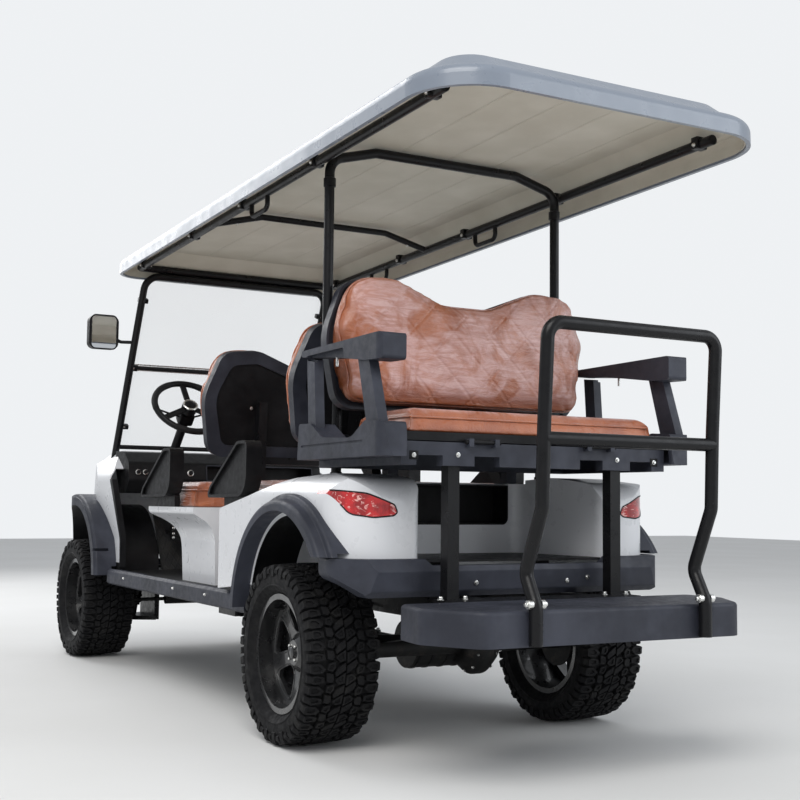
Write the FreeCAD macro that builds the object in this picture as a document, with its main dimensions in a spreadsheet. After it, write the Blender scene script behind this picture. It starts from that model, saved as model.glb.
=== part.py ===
import FreeCAD, Part
import math
import os
import re
import Sketcher
from FreeCAD import Placement, Rotation, Vector

# Lifted six-seat golf cart: two forward rows and a rear-facing flip seat.
# Millimetres. While it is modelled, X runs forward from the rear axle, Y to the left and Z up from the ground.
# Each finished piece is then shifted along X so that the whole cart is centred on the origin.

doc = FreeCAD.newDocument("GolfCart")
sheet = doc.addObject("Spreadsheet::Sheet", "Sizes")

SIZES = {
    # overall layout
    "wheelbase": 2550,
    "front_reach": 2970,
    "fit_gap": 0.3,
    "run_gap": 6,
    # wheels
    "tyre_radius": 288,
    "tyre_width": 250,
    "lug_depth": 14,
    "lug_angle": 11,
    "lug_count": 18,
    "bead_radius": 180,
    "bead_half": 88,
    "rim_lip": 10,
    "rim_wall": 8,
    "rim_disc_at": 46,
    "rim_disc_wall": 14,
    "hub_radius": 48,
    "window_count": 5,
    "rear_track": 1040,
    "front_track": 1020,
    "spindle_radius": 25,
    "brake_radius": 95,
    # chassis
    "rail_width": 50,
    "rail_depth": 85,
    "rail_kick": 65,
    "rail_rear": 555,
    "rail_front": 2860,
    "cross_tube": 50,
    "lift_pad_x": 2700,
    "lift_pad_wall": 8,
    "floor_under": 425,
    "floor_wall": 12,
    "floor_rear": 622,
    "floor_front": 2172,
    "floor_half": 545,
    "toe_half": 285,
    "toe_front": 2370,
    "toe_top": 740,
    "sill_rear": 400,
    "sill_front": 2095,
    "sill_half": 580,
    "sill_bottom": 380,
    "sill_wall": 8,
    # rear axle and springs
    "axle_tube": 32,
    "diff_radius": 105,
    "diff_offset": -120,
    "motor_radius": 82,
    "motor_length": 210,
    "spring_room": 90,
    "spring_to_rail": 50,
    "spring_width": 50,
    "spring_leaf": 8,
    "spring_half_length": 420,
    # front suspension and steering
    "kingpin_half": 430,
    "kingpin_radius": 11,
    "upright_radius": 24,
    "upright_half": 95,
    "arm_plate": 20,
    "steering_arm": 120,
    "arm_eye": 21,
    "tie_rod_radius": 9,
    "steer_angle": 28,
    "wheel_hub_x": 1800,
    "wheel_hub_y": 300,
    "wheel_hub_z": 1205,
    "column_slope": 44,
    "column_radius": 21,
    "steering_wheel_radius": 178,
    "grip_radius": 14,
    # rear body
    "panel_wall": 5,
    "body_front": 605,
    "body_rear": 425,
    "body_half": 600,
    "haunch_round": 70,
    "corner_round": 165,
    "arch_edge": 14,
    "seat_height": 747,
    "haunch_top": 866,
    "post_seat": 845,
    "well_half": 290,
    "well_mouth": 345,
    "well_depth": 405,
    "tub_depth": 95,
    "arch_x": -35,
    "arch_height": 400,
    "arch_inner": 345,
    "flare_band": 55,
    "flare_step": 16,
    "flare_face": 40,
    "flare_half": 660,
    "liner_wall": 5,
    "bumper_bottom": 492,
    "bumper_top": 606,
    "bumper_rear": 475,
    "bumper_half": 618,
    # front body
    "cowl_rear": 2088,
    "cowl_nose": 2945,
    "cowl_half": 578,
    "cowl_foot": 458,
    "screen_foot_x": 2325,
    "screen_foot_z": 1020,
    "dash_half": 500,
    # seats
    "seat_box_rear": 1010,
    "seat_box_front": 1395,
    "seat_lip_front": 1575,
    "seat_half": 525,
    "cushion_depth": 515,
    "cushion_height": 96,
    "front_cushion_rear": 1085,
    "middle_cushion_rear": 185,
    "back_half": 500,
    "back_height": 415,
    "back_valley": 72,
    "back_pad": 95,
    "back_shell": 26,
    "shell_recess": 8,
    "back_lean": 10,
    "rear_back_lean": 3,
    "front_back_x": 1195,
    "middle_back_x": 335,
    "rear_back_x": -168,
    "back_bottom": 985,
    "rear_back_bottom": 1095,
    "restraint_width": 60,
    # rear deck, flip seat and step
    "deck_bottom": 885,
    "deck_top": 955,
    "deck_rear": 565,
    "deck_half": 495,
    "board_wall": 26,
    "flip_front": 190,
    "rear_cushion_height": 64,
    "rear_cushion_half": 470,
    "pivot_x": -578,
    "pivot_z": 957,
    "pivot_radius": 7,
    "post_half": 305,
    "post_tube": 40,
    "post_x": -530,
    "step_front": 625,
    "step_rear": 945,
    "step_half": 552,
    "step_top": 490,
    "step_bottom": 392,
    "hoop_half": 300,
    "hoop_radius": 19,
    "hoop_bend": 60,
    "hoop_bar_z": 951,
    "hoop_top_z": 1265,
    "hoop_back": 1000,
    "hoop_lean": 18,
    "armrest_out": 582,
    "armrest_leg": 32,
    # roof
    "roof_back": 980,
    "roof_length": 3010,
    "roof_half": 610,
    "roof_edge": 1901,
    "roof_slope": 1.5,
    "roof_corner": 120,
    "roof_rear_corner": 210,
    "lip_height": 70,
    "lip_wall": 14,
    "roof_skin": 5,
    "crown_inset": 45,
    "crown_height": 58,
    "crown_slope": 50,
    "liner_skin": 4,
    "frame_tube": 17,
    "rail_half": 500,
    "roof_rail_rear": 180,
    "roof_rail_front": 2945,
    "roof_bow": 1980,
    "bow_flat": 290,
    "roof_post_x": 0,
    "roof_post_kink": 1290,
    "roof_post_foot": 415,
    "screen_half": 472,
    "pane_wall": 5,
    # battery
    "battery_length": 300,
    "battery_width": 700,
    "battery_height": 230,
}

# what follows from those sizes
FOLLOWS = {
    "axle_z": "tyre_radius",
    "floor_top": "(floor_under + floor_wall)",
    "rail_bottom": "(floor_under - rail_depth)",
    "rear_rail_top": "(floor_under + rail_kick)",
    "rear_hub_y": "(rear_track / 2)",
    "spring_offset": "(rear_hub_y - tyre_width / 2 - spring_room)",
    "rail_offset": "(spring_offset - spring_width / 2 - spring_to_rail - rail_width / 2)",
    "rail_out": "(rail_offset + rail_width / 2)",
    "rail_in": "(rail_offset - rail_width / 2)",
    "front_hub_y": "(front_track / 2)",
    "front_arch_x": "(wheelbase + arch_x / 2)",
    "flare_outer": "(arch_inner + flare_band)",
    "arch_cut": "(arch_inner + flare_band / 2)",
    "board_bottom": "(deck_top + 3.5)",
    "board_top": "(board_bottom + board_wall)",
    "board_rear": "(-deck_rear - 3)",
    "lower_arm_top": "(axle_z - upright_half - 1)",
    "upper_arm_bottom": "(axle_z + upright_half + 1)",
    "steering_arm_top": "(axle_z - 22)",
    "tie_rod_z": "(steering_arm_top + fit_gap + arm_plate / 2)",
    "tie_rod_x": "(wheelbase - steering_arm)",
    "roof_rail_z": "(lip_height - roof_skin - liner_skin - frame_tube - 2 * fit_gap)",
    "roof_post_y": "(rail_half - 2 * frame_tube - fit_gap)",
    "front_bar_x": "(roof_rail_front - roof_back)",
    "front_bar_z": "(roof_edge + roof_rail_z - roof_rail_front * tan(roof_slope))",
    "screen_top_z": "(front_bar_z - 2 * frame_tube - 2 * fit_gap)",
    "screen_rise": "sqrt((screen_top_z - screen_foot_z)^2 + (screen_foot_x - front_bar_x)^2)",
    "screen_rake": "atan((screen_foot_x - front_bar_x) / (screen_top_z - screen_foot_z))",
    "shift": "((hoop_back + hoop_lean + hoop_radius - front_reach) / 2)",
}

for row, (name, value) in enumerate(SIZES.items(), 1):
    sheet.set(f"A{row}", name)
    sheet.set(f"B{row}", str(value))
    sheet.setAlias(f"B{row}", name)
doc.recompute()

WORD = re.compile(r"[a-z][a-z_0-9]*")
nodes = []


def spelled(rule):
    """A rule in the words above, written as an expression on the sheet."""
    def swap(match):
        word = match.group(0)
        if word in FOLLOWS:
            return spelled(FOLLOWS[word])
        return "Sizes." + word if word in SIZES else word
    return WORD.sub(swap, str(rule))


def number(rule):
    value = sheet.evalExpression(spelled(rule))
    return float(getattr(value, "Value", value))


def bind(thing, **rules):
    for name, rule in rules.items():
        thing.setExpression(name.replace("_", "."), spelled(rule))


def place(thing, x="0", y="0", z="0"):
    for axis, rule in (("x", x), ("y", y), ("z", z)):
        thing.setExpression("Placement.Base." + axis, spelled(rule))
    return thing


def turn(thing, axis, rule):
    thing.Placement = Placement(Vector(), Rotation(axis, 10))
    thing.setExpression("Placement.Rotation.Angle", spelled(rule))
    return thing


X_AXIS = Vector(1, 0, 0)
Y_AXIS = Vector(0, 1, 0)
Z_AXIS = Vector(0, 0, 1)


def node(thing, label, x="shift", y="0", z="0"):
    """Names a finished piece and puts it in the cart's own frame."""
    piece = group(thing.Name + "Piece", [thing])
    place(piece, x, y, z)
    piece.Label = label
    nodes.append(piece)
    return piece


def corner_arc(before, corner, after, radius):
    """The rounding of one corner: its two tangent points and the arc between them."""
    back = (before - corner).normalize()
    ahead = (after - corner).normalize()
    half = back.getAngle(ahead) / 2
    reach = radius / math.tan(half)
    centre = corner + (back + ahead).normalize() * (radius / math.sin(half))
    first = corner + back * reach
    last = corner + ahead * reach
    spans = [math.atan2(p.y - centre.y, p.x - centre.x) for p in (first, last)]
    forward = back.cross(ahead).z < 0
    if not forward:
        spans.reverse()
    arc = Part.ArcOfCircle(Part.Circle(centre, Z_AXIS, radius), spans[0], spans[1])
    return first, last, arc, forward


def draw(sketch, corners):
    """A closed outline. Each corner is (across, up) or (across, up, rounding)."""
    count = len(corners)
    points = [Vector(number(c[0]), number(c[1]), 0) for c in corners]
    arcs = {}
    starts = list(points)
    ends = list(points)
    for i, corner in enumerate(corners):
        if len(corner) > 2:
            found = corner_arc(points[i - 1], points[i], points[(i + 1) % count], number(corner[2]))
            ends[i], starts[i], arcs[i] = found[0], found[1], found[2:]
    base = sketch.GeometryCount
    sketch.addGeometry([Part.LineSegment(starts[i], ends[(i + 1) % count]) for i in range(count)], False)
    bonds = []
    rules = []

    def measure(kind, element, vertex, value, rule):
        rules.append((sketch.ConstraintCount + len(bonds), rule))
        bonds.append(Sketcher.Constraint(kind, -1, 1, element, vertex, value))

    for i, corner in enumerate(corners):
        before = base + (i - 1) % count
        element = base + i
        vertex = 1
        if i in arcs:
            arc, forward = arcs[i]
            bend = sketch.addGeometry(arc, False)
            first, last = (1, 2) if forward else (2, 1)
            element = sketch.addGeometry(Part.Point(points[i]), True)
            bonds.append(Sketcher.Constraint("Tangent", before, 2, bend, first))
            bonds.append(Sketcher.Constraint("Tangent", bend, last, base + i, 1))
            bonds.append(Sketcher.Constraint("PointOnObject", element, 1, before))
            bonds.append(Sketcher.Constraint("PointOnObject", element, 1, base + i))
            rules.append((sketch.ConstraintCount + len(bonds), corner[2]))
            bonds.append(Sketcher.Constraint("Radius", bend, number(corner[2])))
        else:
            bonds.append(Sketcher.Constraint("Coincident", before, 2, element, 1))
        measure("DistanceX", element, vertex, points[i].x, corner[0])
        measure("DistanceY", element, vertex, points[i].y, corner[1])
    sketch.addConstraint(bonds)
    for index, rule in rules:
        if WORD.search(str(rule)):
            sketch.setExpression(f"Constraints[{index}]", spelled(rule))
    return sketch


def mirrored(corners):
    """Adds the other half of an outline that is drawn on its right half only."""
    return corners + [("-(" + str(c[0]) + ")",) + tuple(c[1:]) for c in reversed(corners)]


def sketch_in(body, name, plane, corners, offset="0"):
    """A sketch on one of the body's own origin planes."""
    sketch = body.newObject("Sketcher::SketchObject", name)
    support = [f for f in body.Origin.OriginFeatures if f.Role == plane + "_Plane"]
    sketch.AttachmentSupport = [(support[0], "")]
    sketch.MapMode = "FlatFace"
    sketch.setExpression("AttachmentOffset.Base.z", spelled(offset))
    return draw(sketch, corners)


def pad(body, sketch, length, both=False, taper="0", kind="Pad"):
    feature = body.newObject("PartDesign::" + kind, kind)
    feature.Profile = sketch
    feature.setExpression("Length", spelled(length))
    if both:
        feature.SideType = "Symmetric"
    if taper != "0":
        feature.setExpression("TaperAngle", spelled(taper))
    return feature


def plate(name, plane, corners, length, offset="0", both=True):
    """A body padded from one outline, symmetric about its plane unless told otherwise."""
    body = doc.addObject("PartDesign::Body", name)
    pad(body, sketch_in(body, "Outline", plane, corners, offset), length, both)
    return body


def spun(name, corners):
    """A body revolved about Y. Its corners are (radius, along Y)."""
    body = doc.addObject("PartDesign::Body", name)
    revolve(body, sketch_in(body, "Section", "XY", corners))
    return body


def revolve(body, sketch, angle="360", kind="Revolution"):
    feature = body.newObject("PartDesign::" + kind, kind)
    feature.Profile = sketch
    feature.ReferenceAxis = (sketch, ["V_Axis"])
    feature.Midplane = True
    feature.setExpression("Angle", spelled(angle))
    return feature


def around(body, feature, count):
    """Copies of one feature round the body's Y axis."""
    pattern = body.newObject("PartDesign::PolarPattern", "Pattern")
    axis = [f for f in body.Origin.OriginFeatures if f.Role == "Y_Axis"]
    pattern.Originals = [feature]
    pattern.Axis = (axis[0], [""])
    pattern.Angle = 360
    pattern.setExpression("Occurrences", spelled(count))
    body.Tip = pattern
    return pattern


def box(name, x, y, z):
    """A block between two rules on each axis."""
    thing = doc.addObject("Part::Box", name)
    bind(thing, Length=f"({x[1]}) - ({x[0]})", Width=f"({y[1]}) - ({y[0]})", Height=f"({z[1]}) - ({z[0]})")
    return place(thing, x[0], y[0], z[0])


def rod(name, radius, length, x="0", y="0", z="0", axis=None):
    """A round bar that starts at a point. It stands upright unless an axis turns it."""
    thing = doc.addObject("Part::Cylinder", name)
    bind(thing, Radius=radius, Height=length)
    if axis == "X":
        thing.Placement.Rotation = Rotation(Y_AXIS, 90)
    if axis == "Y":
        thing.Placement.Rotation = Rotation(X_AXIS, -90)
    return place(thing, x, y, z)


def fuse(name, parts):
    thing = doc.addObject("Part::MultiFuse", name)
    thing.Shapes = parts
    return thing


def common(name, parts):
    thing = doc.addObject("Part::MultiCommon", name)
    thing.Shapes = parts
    return thing


def cut(name, base, tools):
    """The base with each tool taken away from it."""
    for tool in tools:
        thing = doc.addObject("Part::Cut", name)
        thing.Base = base
        thing.Tool = tool
        base = thing
    return base


def group(name, parts):
    thing = doc.addObject("Part::Compound", name)
    thing.Links = parts
    return thing


def mirror(thing):
    other = doc.addObject("Part::Mirroring", thing.Name + "Right")
    other.Source = thing
    other.Normal = Y_AXIS
    return other


def pair(thing):
    """A piece on the left and its mirror image on the right."""
    return group(thing.Name + "Pair", [thing, mirror(thing)])


def rounded(name, thing, radius, wanted):
    """Fillets the edges that the test picks."""
    doc.recompute([thing])
    fillet = doc.addObject("Part::Fillet", name)
    fillet.Base = thing
    size = number(radius)
    fillet.Edges = [(i, size, size) for i, edge in enumerate(thing.Shape.Edges, 1) if wanted(edge)]
    return fillet


def route_wire(route, bend):
    """Straight runs through the points of a route, joined by tangent arcs."""
    points = [Vector(*(number(rule) for rule in stop)) for stop in route]
    edges = []
    start = points[0]
    for before, corner, after in zip(points, points[1:], points[2:]):
        back = (before - corner).normalize()
        ahead = (after - corner).normalize()
        half = back.getAngle(ahead) / 2
        reach = bend / math.tan(half)
        centre = corner + (back + ahead).normalize() * (bend / math.sin(half))
        middle = centre + (corner - centre).normalize() * bend
        first = corner + back * reach
        last = corner + ahead * reach
        edges.append(Part.LineSegment(start, first).toShape())
        edges.append(Part.Arc(first, middle, last).toShape())
        start = last
    edges.append(Part.LineSegment(start, points[-1]).toShape())
    return Part.Wire(edges)


def tube(name, route, radius, bend="hoop_bend"):
    """A round tube bent along a route of (x, y, z) rules."""
    wire = route_wire(route, number(bend))
    first = wire.Edges[0]
    ring = Part.Wire(Part.Circle(first.valueAt(first.FirstParameter), first.tangentAt(first.FirstParameter),
                                 number(radius)).toShape())
    feature = doc.addObject("Part::Feature", name)
    feature.Shape = wire.makePipeShell([ring], True, True)
    return feature


def view_prism(name, plane, corners, start, length, inset=None):
    """One view of a form, drawn as an outline and drawn out along its normal."""
    sketch = draw(doc.addObject("Sketcher::SketchObject", name + "Outline"), corners)
    turns = {"XZ": Rotation(X_AXIS, 90), "YZ": Rotation(Vector(1, 1, 1), 120), "XY": Rotation()}
    source = sketch
    if inset:
        source = doc.addObject("Part::Offset2D", name + "Inset")
        source.Source = sketch
        source.Join = "Intersection"
        source.setExpression("Value", spelled("-(" + inset + ")"))
    prism = doc.addObject("Part::Extrusion", name)
    prism.Base = source
    prism.DirMode = "Custom"
    prism.Dir = Z_AXIS
    prism.Solid = True
    bind(prism, LengthFwd=length)
    prism.Placement.Rotation = turns[plane]
    steps = {"XZ": ("0", "-(" + start + ")", "0"), "YZ": (start, "0", "0"), "XY": ("0", "0", start)}
    return place(prism, *steps[plane])


def form(name, side, section, plan, inset=None):
    """The solid that has the given side, section and plan views, or the same form a wall smaller."""
    views = [
        view_prism(name + "Side", "XZ", side, "-cowl_half - 100", "2 * cowl_half + 200", inset),
        view_prism(name + "Section", "YZ", section, "-front_reach", "3 * front_reach", inset),
    ]
    if plan:
        views.append(view_prism(name + "Plan", "XY", plan, "0", "2 * haunch_top", inset))
    return common(name, views)


# Wheels: the axis of each is Y, with its outer face towards +Y

def tyre():
    body = doc.addObject("PartDesign::Body", "Tyre")
    tread = "(tyre_radius - lug_depth)"
    half = [
        ("bead_radius", "0"),
        ("bead_radius", "bead_half"),
        ("bead_radius + 16", "bead_half + 3"),
        ("bead_radius + 48", "tyre_width / 2", "22"),
        (tread + " - 16", "tyre_width / 2 - 5", "10"),
        (tread, "tyre_width / 2 - 28"),
        (tread, "0"),
    ]
    lower = [(c[0], "-(" + c[1] + ")") + tuple(c[2:]) for c in reversed(half[1:-1])]
    revolve(body, sketch_in(body, "Carcass", "XY", half[1:-1] + lower))
    for row, sign in (("0", 1), ("180 / lug_count", -1)):
        edge = f"{sign} * (tyre_width / 2 - 4)"
        shoulder = f"{sign} * (tyre_width / 2 - 20)"
        inner = f"{sign} * 12"
        corners = [
            (tread + " - 4", inner),
            ("tyre_radius", inner),
            ("tyre_radius", shoulder),
            ("tyre_radius - lug_depth / 2", edge),
            (tread + " - 22", edge),
        ]
        sketch = sketch_in(body, "Lug", "XY", corners)
        sketch.AttachmentOffset.Rotation = Rotation(Y_AXIS, number(row))
        around(body, revolve(body, sketch, "lug_angle"), "lug_count")
    return body


def rim():
    body = doc.addObject("PartDesign::Body", "Rim")
    seat = "bead_radius - fit_gap"
    lip = "bead_radius + rim_lip"
    inside = "bead_radius - rim_wall"
    edge = "bead_half + 3"
    face = "rim_disc_at"
    back = "rim_disc_at - rim_disc_wall"
    corners = [
        (lip, "-(" + edge + ")"),
        (seat, "-(" + edge + ")"),
        (seat, edge),
        (lip, edge),
        (lip, edge + " + 7"),
        (inside, edge + " + 7"),
        (inside, face),
        ("hub_radius + 14", face + " - 16"),
        ("hub_radius - 8", face + " + 4", "4"),
        ("0", face + " + 4"),
        ("0", back + " - 18"),
        ("spindle_radius + fit_gap", back + " - 18"),
        ("spindle_radius + fit_gap", "-34"),
        ("hub_radius", "-34"),
        ("hub_radius + 8", back + " - 16"),
        (inside, back),
        (inside, "-(" + edge + " + 7)"),
        (lip, "-(" + edge + " + 7)"),
    ]
    revolve(body, sketch_in(body, "Section", "XY", corners))
    root = "hub_radius + 20"
    rise = "bead_radius - rim_wall - 12"
    window = [(f"-({root}) * 0.3", root, "8"), (f"({root}) * 0.3", root, "8"),
              (f"({rise}) * 0.42", f"({rise}) * 0.9", "16"), (f"-({rise}) * 0.42", f"({rise}) * 0.9", "16")]
    pocket = pad(body, sketch_in(body, "Window", "XZ", window), "4 * rim_disc_at", True, kind="Pocket")
    around(body, pocket, "window_count")
    return body


def make_wheels():
    places = {
        ("Front", "Left"): ("wheelbase", "front_hub_y", 0),
        ("Front", "Right"): ("wheelbase", "-front_hub_y", 180),
        ("Rear", "Left"): ("0", "rear_hub_y", 0),
        ("Rear", "Right"): ("0", "-rear_hub_y", 180),
    }
    kinds = {"Tyre": tyre(), "Rim": rim()}
    for (axle, side), (x, y, facing) in places.items():
        for kind, pattern in kinds.items():
            thing = group(kind + axle + side, [pattern])
            thing.Placement = Placement(Vector(), Rotation(Z_AXIS, facing))
            node(thing, f"{kind}_{axle}_{side}".lower(), f"{x} + shift", y, "axle_z")


# Chassis

def make_chassis():
    # foot and head of each joint along the rail, as x and z: its ends and the two mitres of the kick
    joints = [
        ("45 - rail_rear", "rail_bottom + rail_kick", "45 - rail_rear", "rear_rail_top"),
        ("300", "rail_bottom + rail_kick", "270", "rear_rail_top"),
        ("440", "rail_bottom", "400", "floor_under"),
        ("rail_front", "rail_bottom", "rail_front", "floor_under"),
    ]
    parts = []
    for i, (back, ahead) in enumerate(zip(joints, joints[1:])):
        foot_x, foot_z, head_x, head_z = back
        length = plate(f"Rail{i}", "XZ", [
            (foot_x + " + fit_gap", foot_z),
            ahead[:2],
            ahead[2:],
            (head_x + " + fit_gap", head_z),
        ], "rail_width", "-rail_offset")
        parts += [length, mirror(length)]
    between = ("-rail_in + fit_gap", "rail_in - fit_gap")
    outside = ("rail_out + fit_gap", "sill_half - 40")
    for i, x in enumerate(("floor_rear + 40", "1200", "sill_front - 80")):
        long = (x, f"{x} + cross_tube")
        high = ("floor_under - cross_tube", "floor_under")
        outer = box(f"Outrigger{i}", long, outside, high)
        parts += [box(f"FloorCross{i}", long, between, high), outer, mirror(outer)]
    for i, x in enumerate(("30", "wheelbase - 25", "rail_front - cross_tube")):
        top = "rear_rail_top" if x == "30" else "floor_under"
        parts.append(box(f"Cross{i}", (x, f"{x} + cross_tube"), between, (f"{top} - cross_tube", top)))
    parts.append(box("RearBeam", ("5 - step_front", "45 - rail_rear"), ("-post_half - 45", "post_half + 45"),
                     ("rear_rail_top - cross_tube", "rear_rail_top")))
    carried = {
        "StepArm": (("30 - step_rear", "5 - step_front - fit_gap"), ("hoop_half - 20", "hoop_half + 20"),
                    ("step_top - 5 - 42", "step_top - 5")),
        "BodyMount": (("180", "230"), ("rail_in", "rail_out"), ("rear_rail_top + fit_gap", "seat_height - panel_wall")),
        "BumperArm": (("rail_front + fit_gap", "front_reach - 65"), ("rail_offset - 20", "rail_offset + 20"),
                      ("floor_under - 70", "floor_under - 5")),
        "DeckPost": (("post_x - post_tube / 2", "post_x + post_tube / 2"),
                     ("post_half - post_tube / 2", "post_half + post_tube / 2"),
                     ("rear_rail_top + fit_gap", "deck_bottom")),
        "LiftPad": (("lift_pad_x", "lift_pad_x + 100"), ("rail_in", "rail_out"),
                    ("rail_bottom - lift_pad_wall", "rail_bottom - fit_gap")),
        "TowerLeg": (("wheelbase - 30", "wheelbase + 30"), ("rail_out - 40", "rail_out"),
                     ("floor_under + fit_gap", "530 - fit_gap")),
    }
    for name, (long, wide, high) in carried.items():
        member = box(name, long, wide, high)
        parts += [member, mirror(member)]
    parts.append(box("TowerHead", ("wheelbase - 30", "wheelbase + 30"), ("-rail_out", "rail_out"), ("530", "570")))
    node(group("Chassis", parts), "chassis_frame")

    floor = plate("FloorSheet", "XZ", [
        ("floor_rear", "floor_under"),
        ("floor_front", "floor_under"),
        ("floor_front", "floor_top"),
        ("floor_rear", "floor_top"),
    ], "2 * floor_half")
    toe = plate("ToeBoard", "XZ", [
        ("floor_front - 1", "floor_under"),
        ("floor_front + 8", "floor_under"),
        ("toe_front", "toe_top"),
        ("toe_front - 14", "toe_top"),
        ("floor_front - 1", "floor_top"),
    ], "2 * toe_half")
    shaft = steering_shaft("ShaftHole", "column_radius")
    cowl_inside = "(cowl_half - 53 - panel_wall - fit_gap)"
    ear = box("CowlEar", ("cowl_rear + 12", "floor_front"), (f"{cowl_inside} - 6", cowl_inside), ("floor_under", "520"))
    node(cut("Floor", fuse("FloorBase", [floor, toe, pair(ear)]), [shaft]), "floor_pan")

    sill = plate("Sill", "YZ", [
        ("sill_half - 90", "floor_top"),
        ("sill_half - 12", "floor_top + 14", "6"),
        ("sill_half", "floor_top + 2", "6"),
        ("sill_half", "sill_bottom + 8"),
        ("sill_half - 12", "sill_bottom"),
        ("sill_half - 40", "sill_bottom"),
        ("sill_half - 40", "sill_bottom + sill_wall"),
        ("sill_half - 8", "sill_bottom + sill_wall"),
        ("sill_half - 8", "floor_top"),
    ], "sill_front - sill_rear", "sill_rear", both=False)
    brackets = [box(f"SillBracket{i}", (f"{x}", f"{x} + cross_tube"), ("sill_half - 40 + fit_gap", "sill_half - 8.5"),
                    ("sill_bottom + sill_wall - 2", "floor_under"))
                for i, x in enumerate(("floor_rear + 40", "1200", "sill_front - 80"))]
    node(pair(fuse("SillStep", [sill] + brackets)), "side_sills")


def steering_shaft(name, radius):
    """The lower steering shaft: from the column's foot to a universal joint, and down to the rack."""
    stops = [
        ("wheel_hub_x + 350 * cos(column_slope)", "wheel_hub_y", "wheel_hub_z - 350 * sin(column_slope)"),
        ("toe_front - 30", "wheel_hub_y / 2", "floor_under + 95"),
        ("tie_rod_x", "wheel_hub_y / 2", "tie_rod_z"),
    ]
    points = [Vector(*(number(rule) for rule in stop)) for stop in stops]
    size = number(radius)
    runs = [Part.makeCylinder(size, (b - a).Length, a, b - a) for a, b in zip(points, points[1:])]
    thing = doc.addObject("Part::Feature", name)
    thing.Shape = runs[0].fuse([runs[1], Part.makeSphere(size * 1.4, points[1])])
    return thing


def make_rear_axle():
    half = "(rear_hub_y - 34 - 4)"
    parts = [
        rod("AxleTube", "axle_tube", f"2 * {half}", "0", f"-{half}", "axle_z", "Y"),
        rod("AxleSpindle", "spindle_radius", "2 * (rear_hub_y + 10)", "0", "-(rear_hub_y + 10)", "axle_z", "Y"),
        rod("Motor", "motor_radius", "motor_length", "78", "diff_offset + 20", "axle_z", "Y"),
    ]
    case = spun("DiffCase", [("0", "-70"), ("diff_radius * 0.6", "-70", "20"), ("diff_radius", "-20", "20"),
                             ("diff_radius", "20", "20"), ("diff_radius * 0.6", "70", "20"), ("0", "70")])
    parts.append(place(case, "0", "diff_offset", "axle_z"))
    for side, y in (("Left", f"{half} - 10"), ("Right", f"-{half} + 4")):
        parts.append(rod("BackPlate" + side, "brake_radius", "6", "0", y, "axle_z", "Y"))
    node(fuse("RearAxle", parts), "rear_axle")

    seat = "(axle_z + axle_tube)"
    rise = "(rail_bottom + rail_kick - 26)"
    leaf = plate("Leaf", "XZ", [
        ("-spring_half_length", f"{rise} - spring_leaf"),
        ("-150", f"{seat} + 5", "400"),
        ("-60", seat),
        ("60", seat),
        ("150", f"{seat} + 5", "400"),
        ("spring_half_length", f"{rise} - spring_leaf"),
        ("spring_half_length", rise),
        ("150", f"{seat} + 3 * spring_leaf + 5", "400"),
        ("-150", f"{seat} + 3 * spring_leaf + 5", "400"),
        ("-spring_half_length", rise),
    ], "spring_width", "-spring_offset")
    eyes = [rod(f"SpringEye{i}", "15", "spring_width", x, "spring_offset - spring_width / 2", f"{rise} - 4", "Y")
            for i, x in enumerate(("-spring_half_length", "spring_half_length"))]
    hangers = [box(f"Hanger{i}", (f"{x} - 18", f"{x} + 18"), ("rail_out", "spring_offset - spring_width / 2 + 1"),
                   (f"{rise} - 24", top))
               for i, (x, top) in enumerate((("-spring_half_length", "rear_rail_top - 20"),
                                             ("spring_half_length", "floor_under - 10")))]
    bolts = [box(f"SpringClip{i}", (f"{x} - 6", f"{x} + 6"), ("spring_offset - 31", "spring_offset + 31"),
                 (f"{seat} - 4", f"{seat} + 34")) for i, x in enumerate(("-40", "40"))]
    clips = cut("SpringClips", fuse("ClipBlocks", bolts), [rod("ClipRoom", "axle_tube + fit_gap", "200", "0",
                "spring_offset - 100", "axle_z", "Y")])
    node(pair(fuse("Spring", [leaf] + eyes + hangers + [clips])), "leaf_springs")


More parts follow.
